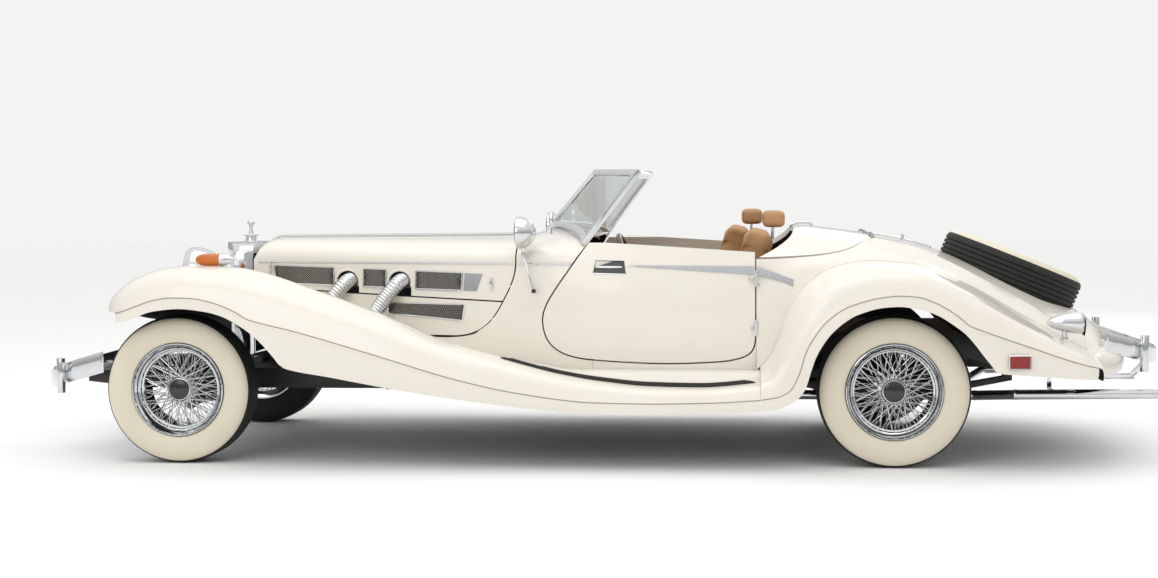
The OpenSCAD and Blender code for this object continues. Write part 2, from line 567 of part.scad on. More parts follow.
module tyre() {
  w = tyre_width / 2;
  seat = rim_radius + 0.4;
  color("black") rotate([-90, 0, 0]) rotate_extrude($fn = 64) polygon(concat(
    [[barrel_radius + 0.4, -rim_half + 16], [seat, -rim_half + 8], [seat + 6, -rim_half - 2]],
    [[rim_radius + 22, -w + 9], [rim_radius + 50, -w], [tyre_radius - 45, -w + 3],
     [tyre_radius - 18, -w + 14], [tyre_radius - 5, -w + 30], [tyre_radius, -w + 48],
     [tyre_radius, w - 48], [tyre_radius - 5, w - 30], [tyre_radius - 18, w - 14],
     [tyre_radius - 45, w - 3], [rim_radius + 50, w], [rim_radius + 22, w - 9],
     [seat + 6, rim_half + 2], [seat, rim_half - 8], [barrel_radius + 0.4, rim_half - 16]]));
}
module at_wheel(n, side) translate([run(n), side * wheel_h, axle_z])
  mirror([0, side < 0 ? 1 : 0, 0]) children();
module spare_wheel() {
  at_spare() rotate([90, 0, 0]) {
    color("black") tyre();
    color("silver") wheel(0);
  }
}

// ---- Bumpers: a blade on a curved plan, its ends lifted ----
module bumper(tip, sweep, low, rise, tall, half, sign_x, bracket_n, over_h) {
  function at(h) = tip - sign_x * sweep * h ^ 2;
  function mid(h) = low + rise * (h / half) ^ 2;
  color("silver") {
    edge = [[0, -0.5], [12, -0.3], [12, 0.3], [0, 0.5], [-4, 0.5], [-4, -0.5]];
    loft([for (h = steps(-half * sign_x, half * sign_x, 20)) [for (p = edge)
      [run(at(h)) + sign_x * (p[0] - 14), across(h), mid(h) + tall * p[1]]]]);
    both_sides() {
      translate([run(at(over_h)) + sign_x * 19, across(over_h), mid(over_h) - 95])
        cylinder(h = 160, r = 19);
      if (sign_x < 0)
        bar(place(bracket_n + 1.4, 360, 355), [run(at(360)) - sign_x * 20, across(360), mid(360)], 40, 12);
      else {
        block(bracket_n - 1.6, bracket_n + 170, 350, 370, 351, 375);
        bar(place(bracket_n + 155, 360, 363), [run(at(360)) - 16, across(360), mid(360) - 8], 24, 20);
      }
    }
  }
}
module front_bumper() bumper(front_tip, 0.0008, 320, 140, 95, 790, -1, -562, 550);
module rear_bumper() bumper(rear_tip, 0.00059, 440, 118, 85, 780, 1, 4122, 550);

module exhaust_system()
  color("silver") both_sides() {
    rod(place(1150, 260, 262), place(1900, 260, 262), 22);
    rod(place(1900, 260, 262), place(2500, 260, 262), 37);
    rod(place(2500, 260, 262), place(3600, 260, 262), 22);
    translate(place(3600, 260, 262)) sphere(23.5);
    rod(place(3600, 260, 262), place(3740, 555, 300), 22);
    translate(place(3740, 555, 300)) sphere(23.5);
    rod(place(3740, 555, 300), place(4400, 555, 306), 22);
    for (n = [1300, 2300]) block(n - 10, n + 10, 255, 265, 262, 304);
    block(3900, 3920, rail_out, 560, 300, 312);
    block(3900, 3920, rail_out, rail_out + 12, 300, 405);
  }
module side_pipes()
  color("silver") both_sides() for (n = pipe_stations) {
    top = [run(n) + 8, side_h(n, 830) - 20, 812];
    knee = [run(n) - 20, side_h(n, 800) + 34, 786];
    foot = [run(n) - 110, side_h(n, 660) + 48, 665];
    difference() {
      rod([run(n) + 8, across(180), 780], top, 36);
      block(n - 60, n + 80, 0, 190.4, 700, 900);
    }
    translate(top) sphere(37.5);
    rod(top, knee, 36);
    translate(knee) sphere(37.5);
    rod(knee, foot, 36);
  }

// ---- Radiator ----
rad_front = 12;
rad_corner = 112;
rad_back = 205;
rad_h = 248;
rad_low = 430;
rad_top = 975;
rad_cap = 130;
module radiator_outline() {
  linear_extrude(2000)
    polygon([[rad_front, 0], [rad_corner, rad_h], [rad_back, rad_h], [rad_back, -rad_h],
             [rad_corner, -rad_h]]);
}
// The shell is open at the front and the back; slats fill its V
module radiator_shell() {
  border = 26;
  head = 50;
  color("silver") difference() {
    intersection() {
      radiator_outline();
      translate([-100, 0, 0]) rotate([90, 0, 90]) linear_extrude(500) polygon(concat(
        [[-rad_h, rad_low], [rad_h, rad_low]],
        [for (a = steps(0, 90, 6)) [rad_h - 70 + 70 * cos(a), rad_top - 45 + 45 * sin(a)]],
        [for (a = steps(90, 180, 6)) [-rad_h + 70 + 70 * cos(a), rad_top - 45 + 45 * sin(a)]]));
    }
    translate([-100, -rad_h + border, rad_low + border])
      cube([500, 2 * (rad_h - border), rad_top - rad_low - border - head]);
  }
  color("silver") {
    translate([rad_cap, 0, rad_top - 1]) cylinder(h = 31, r1 = 30, r2 = 24);
    translate([rad_cap, 0, rad_top + 30]) cylinder(h = 6, r = 38);
    translate([rad_cap, 0, rad_top + 35]) cylinder(h = 45, r1 = 12, r2 = 5);
    translate([rad_cap, 0, rad_top + 92]) sphere(18);
  }
}
module radiator_grille() {
  h = rad_h - 26 - fit_gap;
  thick = 24;
  color("darkgray") translate([12, 0, rad_low + 26 + fit_gap])
    linear_extrude(rad_top - rad_low - 26 - 50 - 2 * fit_gap)
      polygon([[rad_front, 0], [rad_corner, h], [rad_corner + thick, h], [rad_front + thick, 0],
               [rad_corner + thick, -h], [rad_corner, -h]]);
}

// ---- Cabin ----
cabin_h = 640;
tunnel_h = 108;
tunnel_z = 500;
trunk_z = 560.4;
module floor_pan() {
  color("dimgray") {
    difference() {
      union() {
        block(1571, 2640, -cabin_h, cabin_h, floor_z, floor_z + floor_thick);
        block(1566, 1571, -540, 540, floor_z, 900);
        block(1571, 2640, -tunnel_h, tunnel_h, floor_z, tunnel_z);
        side_prism([[2640, floor_z], [2732, 915], [2738, 915], [2646, floor_z]], -600, 600);
      }
      block(1500, 2700, -tunnel_h + 8, tunnel_h - 8, floor_z - 10, tunnel_z - 8);
    }
    block(2680, 3500, -470, 470, trunk_z, trunk_z + floor_thick);
    rod([run(2060), 0, tunnel_z - 4], [run(2040), 0, 640], 9);
    translate([run(2040), 0, 650]) sphere(24);
  }
}
module dashboard()
  color("saddlebrown") difference() {
    block(1800, 1868, -600, 600, 790, 930);
    for (h = [-350, 0, 350]) translate(place(1858, h, 860)) rotate([0, 90, 0]) cylinder(h = 30, r = 45);
  }
wheel_tilt = 25;
sw_n = 2027;
sw_h = 350;
sw_z = 830;
module at_steering() translate(place(sw_n, -sw_h, sw_z)) rotate([0, 90 - wheel_tilt, 0]) children();
module steering_column()
  color("dimgray") difference() {
    union() {
      at_steering() translate([0, 0, -492]) cylinder(h = 462, r = 22);
      block(1771, 1811, -sw_h - 30, -sw_h + 30, 745, 790);
    }
    at_steering() translate([0, 0, -60]) cylinder(h = 70, r = 10 + bore_clearance);
  }
module steering_wheel() {
  r = steering_wheel_diameter / 2;
  color("maroon") at_steering() {
    rotate_extrude($fn = 48) translate([r - 14, 20]) circle(14);
    for (a = [90, 210, 330]) rotate([0, 0, a]) translate([0, -12, 0])
      rotate([0, 90, 0]) translate([-8, 0, 20]) cube([6, 24, r - 30]);
    translate([0, 0, -28]) cylinder(h = 46, r = 34);
    translate([0, 0, -58]) cylinder(h = 34, r = 10);
    for (a = [90, 210, 330]) rotate([0, 0, a])
      translate([r - 26, -12, 2]) cube([12, 24, 18]);
  }
}
seat_z = floor_z + floor_thick + fit_gap;
module seat(n0, h0) {
  w = seat_width;
  color("tan") translate([run(n0), across(abs(h0)) * sign(h0), 0]) {
    translate([-470, -w / 2, seat_z]) cube([470, w, 590 - seat_z]);
    translate([-10, -w / 2, 425]) rotate([0, 14, 0]) translate([-135, 0, 0]) cube([135, w, 590]);
    translate([80, -130, 1045]) cube([110, 260, 85]);
    for (s = [-60, 60]) translate([125, s - 6, 995]) cube([12, 12, 60]);
  }
}

// ---- Windscreen: two panes that meet in a forward point ----
glass_thickness = 6;
screen_lift = 11;
frame_thickness = 24;
screen_foot = [place(1604, 0, 1034), place(1806, 612, 950)];
screen_head = [place(1834, 0, 1310), place(2076, 556, 1304)];
function unrun(x) = x - (wheelbase - drawn_wheelbase);
// A pane's own coordinates: s from the centre post to the pillar, t from the scuttle to the header
function pane_point(s, t) =
  let(f = mix(screen_foot[0], screen_foot[1], s), d = mix(screen_head[0], screen_head[1], s) - f,
      lift = (scuttle_z(unrun(f[0]), f[1]) + screen_lift - f[2]) / d[2])
  f + d * mix(lift, 1, t);
module pane(s0, s1, t0, t1, half) {
  grid = [for (s = steps(s0, s1, 6)) [for (t = steps(t0, t1, 2)) pane_point(s, t)]];
  skin_between(inwards(grid, -half), inwards(grid, half));
}
module windscreen_frame() {
  color("silver") difference() {
    union() {
      both_sides() pane(0, 1, 0, 1, frame_thickness / 2);
      rod(pane_point(0, 0) + [0, 0, 3], pane_point(0, 1), 13);
    }
    both_sides() pane(0.035, 0.95, 0.09, 0.92, frame_thickness);
  }
}
module windscreen_glass()
  color("lightblue") both_sides() pane(0.0365, 0.9485, 0.0925, 0.9175, glass_thickness / 2);

// ---- Lamps ----
lamp_foot = 622.7;
module front_lamps() {
  color("silver") both_sides() {
    translate(place(-70, 400, 850)) rotate([0, 90, 0]) rotate_extrude() polygon([
      [0, 0], [60, 4], [100, 14], [112, 26], [114, 50], [104, 100], [76, 150], [36, 184], [0, 195]]);
    translate(place(20, 400, lamp_foot)) cylinder(h = 750 - lamp_foot, r = 14);
  }
  color("orange") both_sides() {
    translate(place(100, 712, 917.1)) rotate([0, 90, 0]) cylinder(h = 130, r = 28);
    translate(place(100, 712, 917.1)) sphere(28);
    translate(place(230, 712, 917.1)) sphere(28);
  }
}
module spotlights()
  color("silver") both_sides() {
    translate(place(1556, 640, 1030)) {
      rotate([0, 90, 0]) rotate_extrude() polygon([
        [0, -40], [50, -37], [72, -28], [73, -14], [62, 20], [36, 48], [0, 60]]);
      translate([0, 0, -115]) cylinder(h = 60, r = 9);
    }
    rod([run(1556), side_h(1556, 925) + 5.5 * fit_gap, 925], place(1556, 648, 925), 8);
    rod(place(1556, 640, 925), place(1604, 662, 775), 5);
    translate(place(1604, 662, 770)) sphere(11);
    mirror_foot = scuttle_z(1672, 520) + 0.9;
    rod(place(1672, 520, mirror_foot), place(1672, 520, 1060), 5);
    translate(place(1664, 520, 1085)) rotate([0, 90, 0]) cylinder(h = 14, r = 38);
  }
module rear_lamps() {
  color("silver") both_sides() {
    translate(place(4010, 665, 628)) rotate([0, -90, 0]) rotate_extrude() polygon([
      [0, 0], [40, 2], [48, 10], [47, 40], [38, 90], [20, 138], [0, 160]]);
    translate(place(3930, 665, 557.1)) cylinder(h = 45, r = 12);
  }
  color("firebrick") both_sides()
    translate([run(3660), across(curve(rear_bead_h, 3660)) - 1.6, 446]) cube([92, 14, 60]);
}

centred() chassis_frame();
centred() engine_and_driveline();
centred() fuel_tank();
centred() front_suspension();
centred() rear_axle();
centred() exhaust_system();
centred() side_pipes();
centred() front_bumper();
centred() rear_bumper();
centred() radiator_shell();
centred() radiator_grille();
centred() on_left() front_fender();  // front_fender_left
centred() front_fender();  // front_fender_right
centred() on_left() rear_fender();  // rear_fender_left
centred() rear_fender();  // rear_fender_right
centred() engine_side_panels();
centred() body_shell();
centred() tail_panel();
centred() floor_pan();
centred() dashboard();
centred() steering_column();
centred() seat(2545, -350);  // seat_driver
centred() seat(2450, 350);  // seat_passenger
centred() windscreen_frame();
centred() windscreen_glass();
centred() front_lamps();
centred() spotlights();
centred() rear_lamps();
centred() on_left() bonnet([330, 780, 1230]);  // bonnet_left
centred() bonnet([430, 880, 1330]);  // bonnet_right
centred() on_left() door();  // door_left
centred() door();  // door_right
centred() hood_cover();
centred() boot_lid();
centred() spare_wheel();
centred() on_left() knuckle();  // knuckle_left
centred() knuckle();  // knuckle_right
centred() steering_wheel();
centred() at_wheel(0, -1) wheel();  // wheel_front_left
centred() at_wheel(0, 1) wheel();  // wheel_front_right
centred() at_wheel(drawn_wheelbase, -1) wheel();  // wheel_rear_left
centred() at_wheel(drawn_wheelbase, 1) wheel();  // wheel_rear_right
centred() at_wheel(0, -1) tyre();  // tyre_front_left
centred() at_wheel(0, 1) tyre();  // tyre_front_right
centred() at_wheel(drawn_wheelbase, -1) tyre();  // tyre_rear_left
centred() at_wheel(drawn_wheelbase, 1) tyre();  // tyre_rear_right
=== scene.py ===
import math

import bmesh
import bpy
from mathutils import Matrix, Vector


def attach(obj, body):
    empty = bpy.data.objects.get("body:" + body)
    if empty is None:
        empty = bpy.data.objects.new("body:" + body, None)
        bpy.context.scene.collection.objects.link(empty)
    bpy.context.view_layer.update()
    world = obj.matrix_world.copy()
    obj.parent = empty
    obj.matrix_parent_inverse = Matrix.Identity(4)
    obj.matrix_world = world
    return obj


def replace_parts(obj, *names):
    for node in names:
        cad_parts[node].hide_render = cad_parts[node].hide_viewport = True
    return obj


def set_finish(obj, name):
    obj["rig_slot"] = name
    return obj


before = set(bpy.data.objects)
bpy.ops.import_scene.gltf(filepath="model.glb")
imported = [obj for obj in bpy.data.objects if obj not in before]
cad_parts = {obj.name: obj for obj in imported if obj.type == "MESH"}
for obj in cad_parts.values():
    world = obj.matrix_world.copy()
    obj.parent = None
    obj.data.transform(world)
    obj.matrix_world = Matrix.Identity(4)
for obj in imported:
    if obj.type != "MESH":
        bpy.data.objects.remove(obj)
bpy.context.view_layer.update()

# ---------------------------------------------------------------------------
# Chassis frame, fuel tank, suspension arms and axles.
# Welded steel box rails under black chassis enamel. They keep their imported shapes,
# and an even satin coat with road dust in cloudy patches finishes them.


def linear(code):
    """Linear colour of an sRGB hex code."""
    parts = [int(code[i : i + 2], 16) / 255 for i in (0, 2, 4)]
    return [c / 12.92 if c <= 0.04045 else ((c + 0.055) / 1.055) ** 2.4 for c in parts] + [1]


def plug(material, node, sockets):
    """Sets or links a node's sockets."""
    for name, value in sockets.items():
        if isinstance(value, bpy.types.NodeSocket):
            material.node_tree.links.new(value, node.inputs[name])
        else:
            node.inputs[name].default_value = value


def add(material, kind, sockets={}, **settings):
    """Adds one node with its settings and links."""
    node = material.node_tree.nodes.new("ShaderNode" + kind)
    for name, value in settings.items():
        setattr(node, name, value)
    plug(material, node, sockets)
    return node


def start(name, **sockets):
    """New material with its shader's plain values; returns material, shader, place in metres."""
    material = bpy.data.materials.new(name)
    material.use_nodes = True
    shader = material.node_tree.nodes["Principled BSDF"]
    plug(material, shader, {key.replace("_", " "): value for key, value in sockets.items()})
    return material, shader, add(material, "TexCoord").outputs["Object"]


def shades(material, noise, low, high):
    """Colour that runs between two hex codes as the noise does."""
    ramp = add(material, "ValToRGB", {"Fac": noise.outputs["Fac"]})
    ramp.color_ramp.elements[0].color = linear(low)
    ramp.color_ramp.elements[1].color = linear(high)
    return ramp.outputs["Color"]


def dress(nodes, material, edge=0.0, crease=32):
    """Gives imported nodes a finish, smooth faces between creases, and edges worn by edge metres."""
    for name in nodes:
        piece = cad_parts[name]
        piece.data.materials.clear()
        piece.data.materials.append(material)
        if "custom_normal" in piece.data.attributes:
            piece.data.attributes.remove(piece.data.attributes["custom_normal"])
        for face in piece.data.polygons:
            face.material_index = 0
            face.use_smooth = True
        weld = piece.modifiers.new("weld", "WELD")
        weld.merge_threshold = 1e-5
        if edge:
            bevel = piece.modifiers.new("edge", "BEVEL")
            bevel.width, bevel.segments, bevel.limit_method = edge, 2, "ANGLE"
            bevel.angle_limit = math.radians(40)
        split = piece.modifiers.new("crease", "EDGE_SPLIT")
        split.split_angle = math.radians(crease)


# Chassis enamel: brushed-on black alkyd, satin, with dust that dulls it in cloudy patches.
chassis_enamel, shader, place = start("chassis_enamel", Roughness=0.42, IOR=1.5)
cloud = add(chassis_enamel, "TexNoise", {"Vector": place, "Scale": 9.0, "Detail": 6.0})
coat = shades(chassis_enamel, cloud, "141413", "2b2926")
grit = add(chassis_enamel, "TexNoise", {"Vector": place, "Scale": 420.0, "Detail": 3.0})
peel = add(chassis_enamel, "Bump", {"Height": grit.outputs["Fac"], "Strength": 0.25,
                                    "Distance": 0.0006})
plug(chassis_enamel, shader, {"Base Color": coat, "Normal": peel.outputs["Normal"]})
dress(["chassis_frame", "fuel_tank", "rear_axle", "front_suspension"], chassis_enamel, 0.002)

# ---------------------------------------------------------------------------
# Engine block with its driveline, and the front knuckles.
# Grey iron castings, left rough from the sand mould, machined only where they seat.

# Cast iron: sand-cast surface with 1 to 2 mm grains, dull, oil-darkened in patches.
cast_iron, shader, place = start("cast_iron", Metallic=0.75, Roughness=0.55)
sand = add(cast_iron, "TexNoise", {"Vector": place, "Scale": 600.0, "Detail": 4.0})
oil = add(cast_iron, "TexNoise", {"Vector": place, "Scale": 12.0, "Detail": 5.0})
tone = shades(cast_iron, oil, "3f403f", "85878a")
rough = add(cast_iron, "Bump", {"Height": sand.outputs["Fac"], "Strength": 0.6, "Distance": 0.001})
plug(cast_iron, shader, {"Base Color": tone, "Normal": rough.outputs["Normal"]})
dress(["engine_and_driveline", "knuckle_left", "knuckle_right", "steering_column"], cast_iron,
      0.003)

# ---------------------------------------------------------------------------
# Exhaust line under the floor, with a tail pipe each side.
# Bent steel tube with silencers, chromed at the tail pipes that show past the bumper.

# Bright chrome: plated steel, mirror-smooth, with faint wiping marks that blur it here and there.
chrome, shader, place = start("chrome", Metallic=1.0, Roughness=0.07)
wipe = add(chrome, "TexNoise", {"Vector": place, "Scale": 35.0, "Detail": 5.0, "Roughness": 0.7})
haze = add(chrome, "MapRange", {"Value": wipe.outputs["Fac"], "From Min": 0.3, "From Max": 0.8,
                                "To Min": 0.035, "To Max": 0.13})
bright = shades(chrome, wipe, "c9cccf", "e4e5e6")
plug(chrome, shader, {"Base Color": bright, "Roughness": haze.outputs["Result"]})
dress(["exhaust_system"], chrome)

# ---------------------------------------------------------------------------
# Tyres: cross-ply pattern with a broad cream whitewall on the outside only.
# Moulded rubber, turned about the axle, with four grooves round the tread.


def at(n, h, z):
    """Point at station n behind the front axle, half width h and height z, all in mm."""
    return Vector(((n - 1800) / 1000, h / 1000, z / 1000))


def mix(a, b, t):
    return a + (b - a) * t


def steps(a, b, count):
    return [mix(a, b, k / count) for k in range(count + 1)]


def through(points, t):
    """Smooth line through the points, at t from 0 to len(points) - 1."""
    i = min(len(points) - 2, int(t))
    f = t - i
    b, c = Vector(points[i]), Vector(points[i + 1])
    a = Vector(points[i - 1]) if i > 0 else 2 * b - c
    d = Vector(points[i + 2]) if i < len(points) - 2 else 2 * c - b
    return 0.5 * (2 * b + (c - a) * f + (2 * a - 5 * b + 4 * c - d) * f**2
                  + (3 * b - a - 3 * c + d) * f**3)


def smooth(points, count):
    return [through(points, k / count) for k in range((len(points) - 1) * count + 1)]


def build(name, verts, faces, finishes, picks=None, crease=35, closed=True):
    """Mesh object from points in metres. picks gives each face its finish."""
    mesh = bpy.data.meshes.new(name)
    mesh.from_pydata([tuple(v) for v in verts], [], faces)
    for material in finishes:
        mesh.materials.append(material)
    if picks:
        mesh.polygons.foreach_set("material_index", picks)
    if closed:
        solid = bmesh.new()
        solid.from_mesh(mesh)
        bmesh.ops.recalc_face_normals(solid, faces=solid.faces)
        solid.to_mesh(mesh)
        solid.free()
    mesh.shade_smooth()
    mesh.set_sharp_from_angle(angle=math.radians(crease))
    piece = bpy.data.objects.new(name, mesh)
    bpy.context.scene.collection.objects.link(piece)
    return piece


def ring_faces(rows, columns, wrap_rows=False, wrap_columns=True):
    """Quads over a grid of points that closes on itself in one or both directions."""
    return [
        (i * columns + j, i * columns + (j + 1) % columns,
         ((i + 1) % rows) * columns + (j + 1) % columns, ((i + 1) % rows) * columns + j)
        for i in range(rows if wrap_rows else rows - 1)
        for j in range(columns if wrap_columns else columns - 1)
    ]


def turned(profile, around):
    """Points and faces of (radius, along) mm turned about the Y axis."""
    verts = [
        Vector((r * math.cos(2 * math.pi * k / around), a,
                r * math.sin(2 * math.pi * k / around))) / 1000
        for r, a in profile
        for k in range(around)
    ]
    return verts, ring_faces(len(profile), around, wrap_rows=True)


# Black tyre rubber: carbon-filled, matt, faintly brown, with moulding marks under a millimetre.
tyre_rubber, shader, place = start("tyre_rubber", Roughness=0.72, IOR=1.52)
wear = add(tyre_rubber, "TexNoise", {"Vector": place, "Scale": 22.0, "Detail": 6.0})
black = shades(tyre_rubber, wear, "121211", "262523")
mould = add(tyre_rubber, "TexNoise", {"Vector": place, "Scale": 900.0, "Detail": 2.0})
pits = add(tyre_rubber, "Bump", {"Height": mould.outputs["Fac"], "Strength": 0.3,
                                 "Distance": 0.0005})
plug(tyre_rubber, shader, {"Base Color": black, "Normal": pits.outputs["Normal"]})

# Whitewall rubber: zinc-white band, cream from age, slightly glossier than the black.
whitewall, shader, place = start("whitewall_rubber", Roughness=0.5, IOR=1.52)
age = add(whitewall, "TexNoise", {"Vector": place, "Scale": 6.0, "Detail": 7.0})
cream = shades(whitewall, age, "d9cfb8", "e8e0cc")
fine = add(whitewall, "TexNoise", {"Vector": place, "Scale": 700.0, "Detail": 2.0})
skin_bump = add(whitewall, "Bump", {"Height": fine.outputs["Fac"], "Strength": 0.15,
                                    "Distance": 0.0004})
plug(whitewall, shader, {"Base Color": cream, "Normal": skin_bump.outputs["Normal"]})

wheelbase, half_track, tyre_radius, rim_radius = 3190, 695, 334, 208
side = smooth([(210, 76), (215, 85), (232, 92.5), (258, 98.5), (289, 96.5), (311, 88), (322, 77)],
              5)
shoulder = smooth([(322, 77), (329, 68), (332.5, 55)], 3)[1:]
tread = []
for edge in (46, 24, 2, -20, -42):
    tread += [(333.4, edge + 1), (326, edge - 0.5), (326, edge - 4.5), (333.4, edge - 6)]
profile = [tuple(p) for p in side] + [tuple(p) for p in shoulder] + tread
profile += [(r, -a) for r, a in reversed([tuple(p) for p in side] + [tuple(p) for p in shoulder])]
profile += [(190, -70), (190, 70)]
verts, faces = turned(profile, 96)
picks = [1 if i < 30 and i > 2 else 0 for i in range(len(profile)) for _ in range(96)]
tyre_mesh = build("tyre_pattern", verts, faces, [tyre_rubber, whitewall], picks, crease=50)

# ---------------------------------------------------------------------------
# Wire wheels: stepped chrome rim, crossed wire spokes and a conical hub.
# Rolled and turned steel, each spoke laced from a hub flange to the rim's well.


def tube(points, radius, sides=8, closed_ends=True):
    """Points and faces of a round tube along points in metres; radius may vary along it."""
    points = [Vector(p) for p in points]
    radii = radius if isinstance(radius, list) else [radius] * len(points)
    verts, up = [], None
    for i, p in enumerate(points):
        d = (points[min(len(points) - 1, i + 1)] - points[max(0, i - 1)]).normalized()
        if up is None:
            up = d.orthogonal().normalized()
        up = (up - d * up.dot(d)).normalized()
        out = d.cross(up)
        for k in range(sides):
            a = 2 * math.pi * k / sides
            verts.append(p + radii[i] * (up * math.cos(a) + out * math.sin(a)))
    faces = ring_faces(len(points), sides)
    if closed_ends:
        faces.append(tuple(range(sides)))
        faces.append(tuple((len(points) - 1) * sides + k for k in range(sides)))
    return verts, faces


def joined(parts):
    """One set of points and faces from several."""
    verts, faces, counts = [], [], []
    for v, f in parts:
        faces += [tuple(i + len(verts) for i in face) for face in f]
        verts += v
        counts.append(len(f))
    return verts, faces, counts


rim = [(rim_radius + 1, 88), (rim_radius - 3, 90), (203, 84), (200, 76), (193, 70), (190, 62),
       (182, 57), (178, 48),
       (171, 44), (168, 30), (168, -70), (200, -84), (206, -84), (206, -78), (190, -68), (186, 62),
       (198, 76)]
hub = [(20.1, -3), (62, -3), (62, 4), (46, 6), (42, 30), (44, 46), (58, 47), (58, 51), (52, 58),
       (50, 62), (46, 63),
       (20.1, 63)]
lace = []
for ring, hub_r, hub_a, rim_r, rim_a, sweep in ((0, 55, 49, 169, 34, 34), (1, 58, 0, 169, 4, 40),
                                                (2, 56, 49, 169, -14, 20)):
    for k in range(20):
        for turn in (-1, 1):
            a0 = math.radians(k * 18 + ring * 6)
            a1 = a0 + math.radians(turn * sweep)
            lace.append(tube([
                Vector((hub_r * math.cos(a0), hub_a + turn, hub_r * math.sin(a0))) / 1000,
                Vector((rim_r * math.cos(a1), rim_a, rim_r * math.sin(a1))) / 1000], 0.0021, 5))
cap = [(0.5, 64), (44, 64), (44.5, 60), (47, 60), (47, 66), (40, 70), (20, 73), (0.5, 74)]
parts = [turned(rim, 96), turned(hub, 48), *lace]
verts, faces, counts = joined(parts)
dark_start = len(faces)
cap_v, cap_f = turned(cap, 48)
faces += [tuple(i + len(verts) for i in face) for face in cap_f]
verts += cap_v
# Black enamel: stoved, glossy, on the hub discs.
black_enamel, shader, place = start("black_enamel", Roughness=0.18, IOR=1.5, Coat_Weight=0.6,
                                    Coat_Roughness=0.05)
speck = add(black_enamel, "TexNoise", {"Vector": place, "Scale": 60.0, "Detail": 4.0})
gloss = add(black_enamel, "MapRange", {"Value": speck.outputs["Fac"], "To Min": 0.12,
                                       "To Max": 0.26})
plug(black_enamel, shader, {"Base Color": linear("131315"), "Roughness": gloss.outputs["Result"]})
picks = [0] * dark_start + [1] * len(cap_f)
wheel_mesh = build("wheel_pattern", verts, faces, [chrome, black_enamel], picks, crease=30)


def fit_wheel(name, centre, spin, body, wheel_node, tyre_node):
    """Rim and tyre at a centre in mm, their outside turned by spin from +Y."""
    for pattern, node, slot, word in ((wheel_mesh, wheel_node, "wire_wheel_chrome", "rim"),
                                      (tyre_mesh, tyre_node, "tyre_rubber", "tyre")):
        piece = bpy.data.objects.new(f"{word}_{name}", pattern.data)
        bpy.context.scene.collection.objects.link(piece)
        piece.matrix_world = Matrix.Translation(at(*centre)) @ spin
        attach(piece, body)
        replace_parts(piece, node)
        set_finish(piece, slot)


for end, n in (("front", 0), ("rear", wheelbase)):
    for hand, sign in (("left", -1), ("right", 1)):
        fit_wheel(f"{end}_{hand}", (n, sign * half_track, tyre_radius),
                  Matrix.Rotation(math.pi if sign < 0 else 0, 4, "Z"),
                  f"wheel_{end}_{hand}", f"wheel_{end}_{hand}", f"tyre_{end}_{hand}")
spare_centre, spare_lean = at(3784, 0, 815), Matrix.Rotation(math.radians(22.4), 4, "Y")
spare_lie = spare_lean @ Matrix.Rotation(math.radians(90), 4, "X")
for pattern, word, slot in ((wheel_mesh, "rim", "wire_wheel_chrome"),
                            (tyre_mesh, "tyre", "tyre_rubber")):
    piece = bpy.data.objects.new(f"{word}_spare", pattern.data)
    bpy.context.scene.collection.objects.link(piece)
    piece.matrix_world = Matrix.Translation(spare_centre) @ spare_lie
    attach(piece, "boot_lid")
    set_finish(piece, slot)
    if word == "tyre":
        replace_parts(piece, "spare_wheel")
for pattern in (wheel_mesh, tyre_mesh):
    bpy.data.objects.remove(pattern)

# ---------------------------------------------------------------------------
# Front fenders, swept back into the running boards.
# Moulded shell in ivory paint over black underseal; a fine raised bead follows the flank.


def curve(points, x):
    """Height of a line through a few points at x, with no overshoot between them."""
    if x <= points[0][0]:
        return points[0][1]
    if x >= points[-1][0]:
        return points[-1][1]
    slopes = [(b[1] - a[1]) / (b[0] - a[0]) for a, b in zip(points, points[1:])]

    def slope(i):
        if i == 0 or i == len(points) - 1:
            return slopes[min(i, len(slopes) - 1)]
        a, b = slopes[i - 1], slopes[i]
        return 0 if a * b <= 0 else 2 * a * b / (a + b)

    i = max(k for k in range(len(slopes)) if points[k][0] <= x)
    d = points[i + 1][0] - points[i][0]
    t = (x - points[i][0]) / d
    return ((2 * t**3 - 3 * t**2 + 1) * points[i][1] + (t**3 - 2 * t**2 + t) * d * slope(i)
            + (3 * t**2 - 2 * t**3) * points[i + 1][1] + (t**3 - t**2) * d * slope(i + 1))


def slab_faces(rows, columns):
    """Faces over a grid, under it and round its edge, where the grid's points come twice."""
    count = rows * columns
    top = ring_faces(rows, columns, wrap_columns=False)
    under = [tuple(i + count for i in face[::-1]) for face in top]
    rim = [i * columns for i in range(rows)] + [(rows - 1) * columns + j for j in range(1, columns)]
    rim += [i * columns + columns - 1 for i in range(rows - 2, -1, -1)]
    rim += list(range(columns - 2, 0, -1))
    return top, under, [(a, b, b + count, a + count) for a, b in zip(rim, rim[1:] + rim[:1])]


def skin(name, grid, thickness, finishes, body, slot=None):
    """Panel over a grid of (station, half width, height) in mm; the second finish goes inside."""
    rows, columns = len(grid), len(grid[0])
    outer = [[at(*p) for p in row] for row in grid]
    inner = []
    for i in range(rows):
        for j in range(columns):
            a = outer[min(rows - 1, i + 1)][j] - outer[max(0, i - 1)][j]
            b = outer[i][min(columns - 1, j + 1)] - outer[i][max(0, j - 1)]
            inner.append(outer[i][j] - a.cross(b).normalized() * thickness / 1000)
    verts = [p for row in outer for p in row] + inner
    top, under, edge = slab_faces(rows, columns)
    picks = [0] * len(top) + [1] * len(under) + [0] * len(edge)
    piece = build(name, verts, top + under + edge, finishes, picks)
    if body:
        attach(piece, body)
    if slot:
        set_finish(piece, slot)
    return piece


